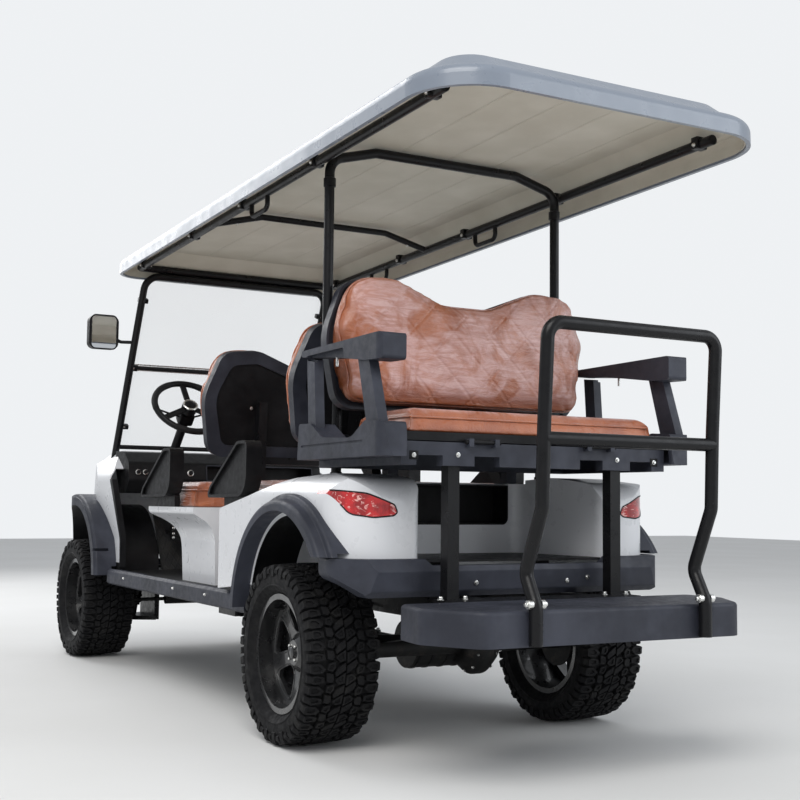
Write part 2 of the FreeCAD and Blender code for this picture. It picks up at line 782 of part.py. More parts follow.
def make_front_suspension():
    arms = []
    for name, z, eye in (("Lower", "lower_arm_top - arm_plate", "28"), ("Upper", "upper_arm_bottom", "26")):
        arm = plate(name + "Arm", "XY", [
            ("wheelbase - 130", "rail_out"),
            ("wheelbase + 130", "rail_out"),
            (f"wheelbase + {eye}", "kingpin_half - 6"),
            (f"wheelbase + {eye}", "kingpin_half + 24", "20"),
            (f"wheelbase - {eye}", "kingpin_half + 24", "20"),
            (f"wheelbase - {eye}", "kingpin_half - 6"),
        ], "arm_plate", z, both=False)
        hole = plate(name + "Window", "XY", [
            ("wheelbase - 92", "rail_out + 26", "10"),
            ("wheelbase + 92", "rail_out + 26", "10"),
            ("wheelbase + 42", "kingpin_half - 56", "14"),
            ("wheelbase - 42", "kingpin_half - 56", "14"),
        ], "arm_plate + 2", z + " - 1", both=False)
        bore = rod(name + "Bore", "kingpin_radius + fit_gap", "arm_plate + 2", "wheelbase", "kingpin_half", z + " - 1")
        tools = [bore] if name == "Lower" else [hole, bore]
        arms.append(cut(name + "ArmCut", arm, tools))
    bracket = box("ArmBracket", ("tie_rod_x + tie_rod_radius + run_gap", "wheelbase + 130"), ("rail_out - 24", "rail_out + fit_gap"),
                  ("lower_arm_top - arm_plate", "rail_bottom"))
    upper = box("UpperBracket", ("wheelbase - 130", "wheelbase + 130"), ("rail_out + fit_gap", "rail_out + 14"),
                ("rail_bottom + 10", "upper_arm_bottom + arm_plate"))
    foot = Vector(number("wheelbase"), number("rail_out + 82"), number("lower_arm_top - 4"))
    head = Vector(number("wheelbase"), number("rail_out + 24"), 556)
    shock = doc.addObject("Part::Feature", "Shock")
    reach = head - foot
    body = Part.makeCylinder(18, reach.Length, foot, reach)
    coil = Part.makeCylinder(27, reach.Length - 90, foot + reach * 0.15, reach)
    shock.Shape = body.fuse(coil)
    ear = box("ShockEar", ("wheelbase - 22", "wheelbase + 22"), ("rail_out + fit_gap", "rail_out + 44"),
              ("540", "568"))
    node(pair(fuse("Suspension", arms + [bracket, upper, shock, ear])), "front_suspension")


def make_steering():
    upright = rod("Upright", "upright_radius", "2 * upright_half", "wheelbase", "kingpin_half", "axle_z - upright_half")
    pin = rod("Kingpin", "kingpin_radius", "2 * (upright_half + arm_plate + 4)", "wheelbase", "kingpin_half",
              "axle_z - upright_half - arm_plate - 4")
    spindle = rod("Spindle", "spindle_radius", "front_hub_y + 10 - kingpin_half", "wheelbase", "kingpin_half",
                  "axle_z", "Y")
    disc = rod("BackDisc", "brake_radius", "6", "wheelbase", "kingpin_half + upright_radius + 4", "axle_z", "Y")
    arm = plate("SteeringArm", "XY", [
        ("wheelbase", "kingpin_half - upright_radius + 4"),
        ("wheelbase", "kingpin_half + upright_radius - 4"),
        ("wheelbase - steering_arm - arm_eye", "kingpin_half + arm_eye", "arm_eye - 1"),
        ("wheelbase - steering_arm - arm_eye", "kingpin_half - arm_eye", "arm_eye - 1"),
    ], "16", "steering_arm_top - 16", both=False)
    left = fuse("Knuckle", [upright, pin, spindle, disc, arm])
    node(group("KnuckleLeft", [left]), "knuckle_left")
    node(group("KnuckleRight", [mirror(left)]), "knuckle_right")

    rod_bar = rod("TieBar", "tie_rod_radius", "2 * kingpin_half - 20", "tie_rod_x", "-kingpin_half + 10",
                  "tie_rod_z", "Y")
    ends = [rod("TieEnd" + side, "arm_eye", "arm_plate", "tie_rod_x", y, "tie_rod_z - arm_plate / 2")
            for side, y in (("Left", "kingpin_half"), ("Right", "-kingpin_half"))]
    node(fuse("TieRod", [rod_bar] + ends), "tie_rod")

    housing = rod("RackTube", "26", "300", "tie_rod_x", "-120", "tie_rod_z", "Y")
    mount = box("RackMount", ("tie_rod_x - 30", "tie_rod_x + 30"),
                ("-rail_offset + rail_width / 2", "rail_offset - rail_width / 2"), ("rail_bottom", "rail_bottom + 40"))
    web = box("RackWeb", ("tie_rod_x - 12", "tie_rod_x + 12"), ("-60", "60"), ("tie_rod_z", "rail_bottom + 10"))
    bore = rod("RackBore", "tie_rod_radius + fit_gap", "304", "tie_rod_x", "-122", "tie_rod_z", "Y")
    passage = cut("RackPlate", mount, [steering_shaft("RackPassage", "12 + run_gap")])
    node(cut("Rack", fuse("RackBody", [housing, passage, web]), [bore]), "steering_rack")

    upper = rod("UpperColumn", "column_radius", "340", axis=None)
    turn(upper, Y_AXIS, "90 + column_slope")
    place(upper, "wheel_hub_x + 22 * cos(column_slope)", "wheel_hub_y", "wheel_hub_z - 22 * sin(column_slope)")
    rack_room = rod("RackRoom", "26 + fit_gap", "300", "tie_rod_x", "-120", "tie_rod_z", "Y")
    rack_side = box("RackSide", ("tie_rod_x - 60", "tie_rod_x + 60"), ("0", "wheel_hub_y"), ("0", "tie_rod_z + 26"))
    column = fuse("ColumnRods", [upper, steering_shaft("LowerShaft", "12")])
    node(cut("Column", column, [rack_room, rack_side]), "steering_column")

    grip = doc.addObject("Part::Torus", "Grip")
    bind(grip, Radius1="steering_wheel_radius - grip_radius", Radius2="grip_radius")
    hub = rod("WheelHub", "36", "34", z="-21.5")
    parts = [grip, hub]
    for i, angle in enumerate((0, 120, 240)):
        spoke = box(f"WheelSpoke{i}", ("20", "steering_wheel_radius - grip_radius"), ("-13", "13"), ("-5", "5"))
        spoke.Placement = Placement(Vector(), Rotation(Z_AXIS, angle)).multiply(spoke.Placement)
        spoke.setExpression("Placement.Base.x", spelled(f"20 * cos({angle}) + 13 * sin({angle})"))
        spoke.setExpression("Placement.Base.y", spelled(f"20 * sin({angle}) - 13 * cos({angle})"))
        parts.append(spoke)
    wheel = fuse("SteeringWheel", parts)
    turn(wheel, Y_AXIS, "column_slope - 90")
    node(wheel, "steering_wheel", "wheel_hub_x + shift", "wheel_hub_y", "wheel_hub_z")

    behind_toe = plate("PedalEnd", "XZ", [
        ("floor_front - 1", "floor_under"),
        ("floor_front - 1", "floor_top"),
        ("toe_front - 14", "toe_top"),
        ("toe_front + 100", "toe_top"),
        ("toe_front + 100", "floor_under"),
    ], "2 * toe_half")
    pedals = []
    for name, y, z in (("Brake", "230", "620"), ("Drive", "130", "600")):
        face = box(name + "Pad", ("2120", "2132"), (f"{y} - 36", f"{y} + 36"), (f"{z} - 40", f"{z} + 30"))
        lever = box(name + "Lever", ("2128", "toe_front"), (f"{y} - 7", f"{y} + 7"), (f"{z} - 7", f"{z} + 7"))
        pedals.append(cut(name + "Pedal", fuse(name + "Blank", [face, lever]), [behind_toe]))
    node(group("Pedals", pedals), "pedals")


# Body panels

REAR_SIDE = [
    ("body_front", "cowl_foot"),
    ("body_front", "seat_height", "12"),
    ("330", "seat_height + 46", "120"),
    ("40", "haunch_top - 14", "160"),
    ("-190", "haunch_top", "150"),
    ("-body_rear", "haunch_top - 26", "90"),
    ("-body_rear", "560"),
]
REAR_SECTION = mirrored([
    ("body_half", "cowl_foot - 60"),
    ("body_half", "haunch_top - 40", "haunch_round"),
    ("body_half - 100", "haunch_top + 12", "90"),
])
REAR_PLAN = [
    ("body_front", "-body_half"),
    ("body_front", "body_half"),
    ("-body_rear", "body_half", "corner_round"),
    ("-body_rear", "well_mouth", "36"),
    ("-body_rear + well_depth", "well_half", "40"),
    ("-body_rear + well_depth", "-well_half", "40"),
    ("-body_rear", "-well_mouth", "36"),
    ("-body_rear", "-body_half", "corner_round"),
]
LAMP = [("426", "744", "8"), ("436", "768", "16"), ("520", "802", "80"), ("606", "812", "4"), ("560", "738", "30"),
        ("500", "729", "60"), ("440", "735", "10")]


def seat_room(name, grow):
    """The room over the seat base and the post seat, or the same room a wall larger."""
    seat = box(name + "Seat", (f"140 - {grow}", "body_front + 10"), (f"-505 - {grow}", f"505 + {grow}"),
               (f"seat_height - {grow}", "1000"))
    post = box(name + "Post", (f"-60 - {grow}", "200"), (f"-505 - {grow}", f"505 + {grow}"),
               (f"post_seat - {grow}", "1000"))
    return fuse(name, [seat, post])


def arch_rods(name, x, radius, near, far):
    rods = [rod(name + "Left", radius, f"{far} - {near}", x, near, "arch_height", "Y"),
            rod(name + "Right", radius, f"{far} - {near}", x, f"-{far}", "arch_height", "Y")]
    return fuse(name, rods)


rear_form = form("RearForm", REAR_SIDE, REAR_SECTION, REAR_PLAN)


def make_rear_body():
    outer = cut("RearOuter", rear_form, [seat_room("SeatRoom", "0")])
    inner = cut("RearInner", form("RearVoid", REAR_SIDE, REAR_SECTION, REAR_PLAN, "panel_wall"),
                [seat_room("SeatWall", "panel_wall")])
    opening = view_prism("RearUnder", "XY", REAR_PLAN, "cowl_foot - 60", "180", "panel_wall")
    hatch = plate("Hatch", "YZ", [("-250", "700", "25"), ("250", "700", "25"), ("250", "870"), ("-250", "870")],
                  "80", "-60", both=False)
    lamp = plate("LampForm", "YZ", LAMP, "260", "-480", both=False)
    lamps = fuse("LampHoles", [lamp, mirror(lamp)])
    arches = arch_rods("RearArch", "arch_x", "arch_inner - arch_edge", "440", "700")
    shell = cut("RearShell", outer, [inner, opening, arches, hatch, lamps])
    node(shell, "rear_body")

    deep = form("LampBack", REAR_SIDE, REAR_SECTION, REAR_PLAN, "45")
    lens = cut("Lens", common("LensForm", [rear_form, lamp]), [deep])
    node(pair(lens), "tail_lamps")

    tub = plate("Tub", "YZ", [("-249.7", "700.3", "24"), ("249.7", "700.3", "24"), ("249.7", "839"), ("-249.7", "839")],
                "tub_depth", "-body_rear + well_depth + 1", both=False)
    tub_room = plate("TubRoom", "YZ", [("-245", "705", "20"), ("245", "705", "20"), ("245", "835"), ("-245", "835")],
                     "tub_depth - 4", "-body_rear + well_depth", both=False)
    tray = plate("Tray", "XY", [
        ("-body_rear + 1", "-well_mouth + 3"),
        ("-body_rear + well_depth - 3", "-well_half + 2", "44"),
        ("-body_rear + well_depth - 3", "well_half - 2", "44"),
        ("-body_rear + 1", "well_mouth - 3"),
    ], "8", "594", both=False)
    legs = [box(f"TrayLeg{i}", ("-300", "-260"), (f"{y} - 20", f"{y} + 20"), ("rear_rail_top", "595"))
            for i, y in enumerate(("-rail_offset", "rail_offset"))]
    node(group("CargoWell", [cut("TubShell", tub, [tub_room]), fuse("TrayFloor", [tray] + legs)]), "cargo_well")


BUMPER_PLAN = [
    ("-280", "-bumper_half"),
    ("-body_rear + 70", "-bumper_half", "90"),
    ("-bumper_rear", "-bumper_half + 80", "60"),
    ("-bumper_rear", "bumper_half - 80", "60"),
    ("-body_rear + 70", "bumper_half", "90"),
    ("-280", "bumper_half"),
]


BUMPER_SIDE = [
    ("-280", "bumper_bottom"),
    ("-280", "bumper_top"),
    ("-bumper_rear + 14", "bumper_top", "6"),
    ("-bumper_rear", "bumper_top - 36", "12"),
    ("-bumper_rear + 8", "bumper_bottom + 18", "12"),
    ("-bumper_rear + 30", "bumper_bottom"),
]
BUMPER_FACE = mirrored([
    ("bumper_half - 80", "bumper_bottom", "20"),
    ("bumper_half", "bumper_bottom + 64", "30"),
    ("bumper_half", "bumper_top", "8"),
    ("350", "bumper_top", "8"),
    ("326", "bumper_top - 20", "8"),
])


def make_rear_bumper():
    outer = form("BumperForm", BUMPER_SIDE, BUMPER_FACE, BUMPER_PLAN)
    inner = form("BumperVoid", BUMPER_SIDE, BUMPER_FACE, BUMPER_PLAN, "6")
    under = box("BumperUnder", ("-bumper_rear + 44", "-270"), ("-bumper_half + 92", "bumper_half - 92"),
                ("bumper_bottom - 1", "bumper_bottom + 10"))
    ahead = box("BumperAhead", ("-290", "-270"), ("-bumper_half + 10", "bumper_half - 10"),
                ("bumper_bottom + 70", "bumper_top - 7"))
    back = box("BumperBack", ("-body_rear", "0"), ("-well_mouth - 40", "well_mouth + 40"), ("400", "700"))
    mouth = view_prism("BumperSeat", "XY", REAR_PLAN, "bumper_bottom - 1", "200", "-fit_gap")
    shell = cut("BumperShell", outer, [inner, under, ahead, back, mouth])
    node(shell, "rear_bumper")


def flare_disc(name, outer_y, step_y, x):
    """The flare's outline turned about the arch: a flange on the body, a step and a rounded outer face."""
    disc = spun(name, [
        ("0", "380"),
        ("flare_outer", "380"),
        ("flare_outer", step_y, "9"),
        ("flare_outer - flare_step", f"{step_y} + 6", "4"),
        ("flare_outer - flare_step - 6", outer_y, "16"),
        ("0", outer_y),
    ])
    return place(disc, x, "0", "arch_height")


def flare(name, panel, x, seat, outer_y, front_z, rear_z, liner_y, plan=None, void=None, slots=()):
    """An arch band that sits on a body panel, with its wheel house behind it, open below two heights."""
    disc = flare_disc(name + "Disc", outer_y, f"{outer_y} - flare_face", x)
    inside = box(name + "Inside", (f"{x} - 500", f"{x} + 500"), ("0", seat[0]), ("-200", seat[1]))
    band = cut(name + "Band", disc, [panel, inside])
    tub = rod(name + "House", "arch_inner + liner_wall", f"{outer_y} - 20 - ({liner_y})", x, liner_y, "arch_height", "Y")
    room = rod(name + "Room", "arch_inner", f"{outer_y} - ({liner_y}) + 20", x, f"{liner_y} - 10", "arch_height", "Y")
    ahead = box(name + "Ahead", (x, f"{x} + 500"), ("0", "900"), ("-200", front_z))
    behind = box(name + "Behind", (f"{x} - 500", x), ("0", "900"), ("-200", rear_z))
    if void:
        tub = common(name + "Lining", [tub, void])
    arch = cut(name, fuse(name + "Solid", [band, tub]), [room, ahead, behind] + list(slots))
    if plan:
        arch = common(name + "Swept", [arch, view_prism(name + "Plan", "XY", plan, "0", "2 * haunch_top")])
    return node(pair(arch), "_".join(re.findall("[a-z]+", name.lower().replace("flare", " flares"))))


FRONT_SWEEP = [
    ("cowl_rear", "0"),
    ("front_reach", "0"),
    ("front_reach", "cowl_half - 70"),
    ("front_arch_x + 60", "flare_half - 30", "300"),
    ("cowl_rear", "flare_half - 30"),
]


def make_flares():
    lining = form("RearLining", REAR_SIDE, REAR_SECTION, REAR_PLAN, "panel_wall + fit_gap")
    flare("RearFlare", rear_form, "arch_x", ("body_half", "620"), "flare_half", "412", "bumper_top + 3", "440",
          void=lining)
    slots = [box(f"FlareSlot{i}", ("front_arch_x - flare_outer - 10", "front_arch_x - flare_outer + 45"),
                 ("floor_half + 14", "flare_half - 30"), (z, f"{z} + 13")) for i, z in enumerate(("530", "668"))]
    flare("FrontFlare", cowl_form, "front_arch_x", ("floor_half + 3", "cowl_foot + 1"), "flare_half", "cowl_foot + 40",
          "418", "300", plan=FRONT_SWEEP, slots=slots)


COWL_SIDE = [
    ("cowl_rear", "cowl_foot"),
    ("cowl_rear + 25", "905", "40"),
    ("screen_foot_x - 20", "screen_foot_z", "60"),
    ("screen_foot_x + 300", "screen_foot_z - 95", "300"),
    ("cowl_nose - 50", "760", "120"),
    ("cowl_nose", "560", "60"),
    ("cowl_nose - 15", "cowl_foot"),
]
COWL_SECTION = mirrored([
    ("cowl_half - 53", "cowl_foot - 60"),
    ("cowl_half - 53", "590", "100"),
    ("cowl_half", "880", "50"),
    ("cowl_half - 95", "screen_foot_z - 16", "50"),
    ("380", "screen_foot_z + 26", "90"),
])
COWL_PLAN = [
    ("cowl_rear - 10", "-cowl_half - 8"),
    ("cowl_rear + 190", "-cowl_half - 8", "300"),
    ("cowl_nose - 90", "-cowl_half + 135", "120"),
    ("cowl_nose", "-300", "120"),
    ("cowl_nose", "300", "120"),
    ("cowl_nose - 90", "cowl_half - 135", "120"),
    ("cowl_rear + 190", "cowl_half + 8", "300"),
    ("cowl_rear - 10", "cowl_half + 8"),
]
HEADLAMP = [("250", "650", "20"), ("270", "712", "26"), ("470", "760", "24"), ("500", "700", "20"), ("430", "655", "20")]


cowl_form = form("CowlForm", COWL_SIDE, COWL_SECTION, COWL_PLAN)


def make_front_body():
    inner = form("CowlVoid", COWL_SIDE, COWL_SECTION, COWL_PLAN, "panel_wall")
    under = view_prism("CowlUnder", "XY", COWL_PLAN, "cowl_foot - 60", "80", "panel_wall")
    doorway = view_prism("CowlDoorway", "YZ", COWL_SECTION, "cowl_rear - 20", "80", "panel_wall")
    dash_room = box("DashRoom", ("cowl_rear - 20", "screen_foot_x - 40"), ("-dash_half - fit_gap", "dash_half + fit_gap"),
                    ("790", "1100"))
    arches = arch_rods("FrontArch", "front_arch_x", "arch_cut", "400", "700")
    lamp = plate("HeadlampForm", "YZ", HEADLAMP, "200", "cowl_nose - 150", both=False)
    shell = cut("Cowl", cowl_form, [inner, under, doorway, dash_room, arches, fuse("HeadlampHoles", [lamp, mirror(lamp)])])
    node(shell, "front_cowl")

    deep = form("HeadlampBack", COWL_SIDE, COWL_SECTION, COWL_PLAN, "30")
    lens = cut("HeadlampLens", common("HeadlampSkin", [cowl_form, lamp]), [deep])
    node(pair(lens), "headlamps")

    trim = view_prism("TrimForm", "YZ", COWL_SECTION, "cowl_rear - 14", "50")
    hollow = view_prism("TrimRoom", "YZ", COWL_SECTION, "cowl_rear - 20", "80", "26")
    top = box("TrimTop", ("cowl_rear - 30", "cowl_rear + 60"), ("-700", "700"), ("870", "1200"))
    foot = box("TrimFoot", ("cowl_rear - 30", "cowl_rear + 60"), ("-700", "700"), ("300", "cowl_foot + 1"))
    node(cut("Trim", trim, [hollow, top, foot, cowl_form]), "doorway_trim")

    bar = plate("FrontBar", "XY", [
        ("front_reach - 65", "-420"),
        ("front_reach - 65", "420"),
        ("front_reach - 20", "430", "20"),
        ("front_reach", "330", "120"),
        ("front_reach", "-330", "120"),
        ("front_reach - 20", "-430", "20"),
    ], "105", "350", both=False)
    node(bar, "front_bumper")


def make_dashboard():
    dash = plate("DashForm", "XZ", [
        ("2110", "806", "14"),
        ("2052", "868", "22"),
        ("2066", "950", "30"),
        ("2140", "1004", "30"),
        ("screen_foot_x - 42", "screen_foot_z - 10"),
        ("screen_foot_x - 60", "900"),
        ("2200", "806"),
    ], "2 * dash_half")
    left = box("BinLeft", ("2000", "2130"), ("-60", "110"), ("872", "940"))
    right = box("BinRight", ("2000", "2150"), ("-450", "-130"), ("872", "940"))
    shaft = rod("ColumnHole", "column_radius + fit_gap", "600")
    turn(shaft, Y_AXIS, "90 + column_slope")
    place(shaft, "wheel_hub_x", "wheel_hub_y", "wheel_hub_z")
    lower = steering_shaft("ShaftRoom", "column_radius")
    node(cut("Dash", dash, [left, right, shaft, lower]), "dashboard")


# Seats

def cushion(name, x, z, half, depth, height):
    return plate(name, "XZ", [
        (x, z, "14"),
        (f"{x} + {depth}", z, "20"),
        (f"{x} + {depth} + 12", f"{z} + {height}", "38"),
        (x, f"{z} + {height}", "26"),
    ], f"2 * {half}")


def back_outline(grow):
    return mirrored([
        (f"back_half - 40 + {grow}", f"0 - {grow}", "70"),
        (f"back_half + {grow}", "back_height * 0.55", "200"),
        (f"back_half - 70 + {grow}", f"back_height - 12 + {grow}", "70"),
        ("back_half - 210", f"back_height + 4 + {grow}", "110"),
        ("90", f"back_height - back_valley + {grow}", "90"),
    ])


SHELL_RECESS = mirrored([
    ("back_half - 80", "36", "40"),
    ("back_half - 36", "back_height * 0.55", "150"),
    ("back_half - 100", "back_height - 50", "50"),
    ("back_half - 210", "back_height - 38", "60"),
    ("90", "back_height - back_valley - 36", "60"),
])


def backrest(name, x, bottom, lean, spine_y):
    """A pad, the moulded shell behind it and its two bars, leaned back about the pad's lower front edge."""
    pad_body = plate(name + "Pad", "YZ", back_outline("0"), "back_pad", "-back_pad", both=False)
    shell = plate(name + "Shell", "YZ", back_outline("12"), "back_shell + 16", "-back_pad - fit_gap - back_shell",
                  both=False)
    room = plate(name + "Room", "YZ", back_outline("4"), "40", "-back_pad - fit_gap", both=False)
    rear_face = "-back_pad - fit_gap - back_shell"
    recess = plate(name + "Recess", "YZ", SHELL_RECESS, "shell_recess + 1", f"{rear_face} - 1", both=False)
    tray = cut(name + "Tray", shell, [room, recess])
    blank = box(name + "Spine", (f"{rear_face} - 24", f"{rear_face} + shell_recess"),
                (f"{spine_y} - 18", f"{spine_y} + 18"), ("10", "205"))
    bar = cut(name + "Bars", blank, [tray])
    holders = []
    for thing in (pad_body, tray, pair(bar)):
        holder = group(thing.Name + "Place", [thing])
        holder.Placement.Rotation = Rotation(-Y_AXIS, 1)
        holder.setExpression("Placement.Rotation.Angle", spelled(lean))
        place(holder, x, "0", bottom)
        holders.append(holder)
    return holders


def reversed_back(name, x, bottom, lean, spine_y):
    """The rear-facing backrest: the same pieces turned half round."""
    holders = backrest(name, "0", "0", lean, spine_y)
    turned = []
    for holder in holders:
        place_it = group(holder.Name + "Turned", [holder])
        place_it.Placement = Placement(Vector(), Rotation(Z_AXIS, 180))
        place(place_it, x, "0", bottom)
        turned.append(place_it)
    return turned


def restraint(name, x):
    """A moulded hip restraint beside a seat: a sloping panel with a rounded rim and a recessed face."""
    outline = [("0", "228", "28"), ("0", "30", "80"), ("392", "24", "14"), ("356", "68", "30"), ("92", "228", "60")]
    recess = [("11", "217", "18"), ("11", "41", "68"), ("366", "35", "6"), ("344", "63", "24"), ("90", "217", "50")]
    lifted = lambda corners: [(f"{x} + {c[0]}", f"seat_height + 14 + {c[1]}") + c[2:] for c in corners]
    panel = plate(name, "XZ", lifted(outline), "restraint_width", "-(seat_half + 8 + restraint_width / 2)")
    face = plate(name + "Face", "XZ", lifted(recess), "30", "-(seat_half + 8 + restraint_width + 3)")
    foot = box(name + "Foot", (f"{x} + 40", f"{x} + 300"), ("seat_half + 8", "seat_half + 30"),
               ("seat_height", "seat_height + 50"))
    return fuse(name + "Panel", [cut(name + "Cut", panel, [face]), foot])


VENT = [("1318", "512", "24"), ("1370", "512", "24"), ("1370", "592", "24"), ("1318", "592", "24")]


def make_seats():
    side = [
        ("seat_box_rear", "floor_top"),
        ("seat_box_front", "floor_top"),
        ("seat_box_front + 12", "640", "140"),
        ("seat_lip_front", "seat_height - 30", "26"),
        ("seat_lip_front", "seat_height"),
        ("seat_box_rear", "seat_height"),
    ]
    section = mirrored([
        ("455", "floor_top - 30"),
        ("462", "668", "110"),
        ("seat_half + 30", "seat_height - 24", "20"),
        ("seat_half + 30", "seat_height + 30"),
    ])
    outer = form("BoxForm", side, section, None)
    inner = form("BoxVoid", side, section, None, "panel_wall")
    under = box("BoxUnder", ("seat_box_rear + panel_wall", "seat_box_front - panel_wall"),
                ("-448", "448"), ("floor_top - 1", "floor_top + 20"))
    vent = plate("Vent", "XZ", VENT, "1200")
    cover = plate("VentCover", "XZ", VENT, "12", "-453")
    node(group("SeatBox", [cut("SeatBoxShell", outer, [inner, under, vent]), pair(cover)]), "seat_box")

    node(cushion("FrontCushion", "front_cushion_rear", "seat_height + fit_gap", "seat_half", "cushion_depth",
                 "cushion_height"), "front_cushion")
    node(cushion("MiddleCushion", "middle_cushion_rear", "seat_height + fit_gap", "495", "cushion_depth",
                 "cushion_height"), "middle_cushion")
    front_pad, front_shell, front_bars = backrest("FrontBack", "front_back_x", "back_bottom", "back_lean", "260")
    middle_pad, middle_shell, middle_bars = backrest("MiddleBack", "middle_back_x", "back_bottom + 12", "back_lean", "260")
    rear_pad, rear_shell, rear_bars = reversed_back("RearBack", "rear_back_x", "rear_back_bottom", "rear_back_lean", "160")
    node(front_pad, "front_back_pad")
    node(middle_pad, "middle_back_pad")
    node(group("RearPadNode", [rear_pad]), "rear_back_pad")
    node(group("BackShells", [front_shell, middle_shell, rear_shell]), "seat_back_shells")
    middle = cut("MiddleRestraint", restraint("MiddleLoop", "375"), [rear_form])
    node(group("Restraints", [pair(restraint("FrontRestraint", "1195")), pair(middle)]), "hip_restraints")

    frames = []
    for row, x, foot_x, foot, rise, bars in (
            ("Front", "front_back_x", "seat_box_rear + 20", "seat_height", "back_bottom", front_bars),
            ("Middle", "middle_back_x", "10", "post_seat", "back_bottom + 12", middle_bars)):
        back = f"({x} - back_pad - back_shell - 2 * fit_gap)"
        upright = plate(row + "Upright", "XZ", [
            (foot_x, foot),
            (f"{foot_x} + 48", foot),
            (f"{back} - 4", f"{rise} - 6"),
            (f"{back} - 4 - 200 * tan(back_lean)", f"{rise} + 194"),
            (f"{back} - 24 - 200 * tan(back_lean)", f"{rise} + 194"),
        ], "36", "-260")
        bar = box(row + "Bar", (f"{back} - 38", f"{back} - 10"), ("-300", "300"), (f"{rise} - 60", f"{rise} - 30"))
        frames.append(fuse(row + "Frame", [upright, mirror(upright), bar, bars]))
    rear = "(rear_back_x + back_pad + back_shell + 2 * fit_gap)"
    uprights = [plate("RearUpright", "XZ", [
        (f"{rear} + 6", "deck_top"),
        (f"{rear} + 36", "deck_top"),
        (f"{rear} + 30 + 200 * tan(rear_back_lean)", "rear_back_bottom + 200"),
        (f"{rear} + 6 + 200 * tan(rear_back_lean)", "rear_back_bottom + 200"),
        (f"{rear} + 6", "rear_back_bottom"),
    ], "36", "-160")]
    frames.append(fuse("RearFrame", uprights + [rear_bars, mirror(uprights[0]), box("RearBar", (f"{rear} + 8", f"{rear} + 34"),
                       ("-200", "200"), ("rear_back_bottom - 70", "rear_back_bottom - 40"))]))
    node(group("SeatFrames", frames), "seat_frames")
    node(box("Battery", ("seat_box_rear + 40", "seat_box_rear + 40 + battery_length"),
             ("-battery_width / 2", "battery_width / 2"), ("floor_top", "floor_top + battery_height")), "battery_pack")


# Rear deck, flip seat, step and hoop

def make_rear_deck():
    beam = box("DeckForm", ("-deck_rear", "-15"), ("-deck_half", "deck_half"), ("deck_bottom", "deck_top"))
    room = box("DeckRoom", ("-deck_rear + 36", "-60"), ("-deck_half + 30", "deck_half - 30"),
               ("deck_bottom - 1", "deck_top - 8"))
    slots = []
    for i, y in enumerate(("-398", "-197", "197", "398")):
        slots.append(box(f"DeckSlot{i}", ("-deck_rear - 1", "-deck_rear + 40"), (f"{y} - 45", f"{y} + 45"),
                         ("deck_bottom - 1", "deck_bottom + 30")))
    feet = [box(f"DeckFoot{i}", ("-55", "-15"), (f"{y} - 20", f"{y} + 20"), ("post_seat", "deck_bottom + 5"))
            for i, y in enumerate(("-240", "240"))]
    ears = []
    for i, y in enumerate(("-220", "220")):
        for j, step in enumerate(("-46", "46")):
            ears.append(box(f"HingeEar{i}{j}", ("pivot_x - 10", "-deck_rear + 2"),
                            (f"{y} + {step} - 8", f"{y} + {step} + 8"), ("pivot_z - 14", "pivot_z + 10")))
    pin_bore = rod("PinBore", "pivot_radius + fit_gap", "2 * deck_half", "pivot_x", "-deck_half", "pivot_z", "Y")
    ears = cut("HingeEars", fuse("EarBlocks", ears), [pin_bore])
    node(fuse("Deck", [cut("DeckShell", beam, [room] + slots), ears] + feet), "rear_deck")

    board = box("Board", ("board_rear + 10", "-flip_front"), ("-rear_cushion_half - 10", "rear_cushion_half + 10"),
                ("board_bottom", "board_top"))
    lugs = [rod(f"BoardHinge{i}", "pivot_radius", "124", "pivot_x", f"{y} - 62", "pivot_z", "Y")
            for i, y in enumerate(("-220", "220"))]
    straps = [box(f"BoardStrap{i}", ("pivot_x", "board_rear + 40"), (f"{y} - 26", f"{y} + 26"),
                  ("pivot_z + 3", "pivot_z + 7"))
              for i, y in enumerate(("-220", "220"))]
    node(fuse("FlipBoard", [board] + lugs + straps), "flip_board")
    node(plate("RearCushion", "XZ", [
        ("board_rear + 14", "board_top + fit_gap", "10"),
        ("-flip_front - 15", "board_top + fit_gap", "10"),
        ("-flip_front - 15", "board_top + rear_cushion_height", "26"),
        ("board_rear + 14", "board_top + rear_cushion_height", "26"),
    ], "2 * rear_cushion_half"), "rear_cushion")


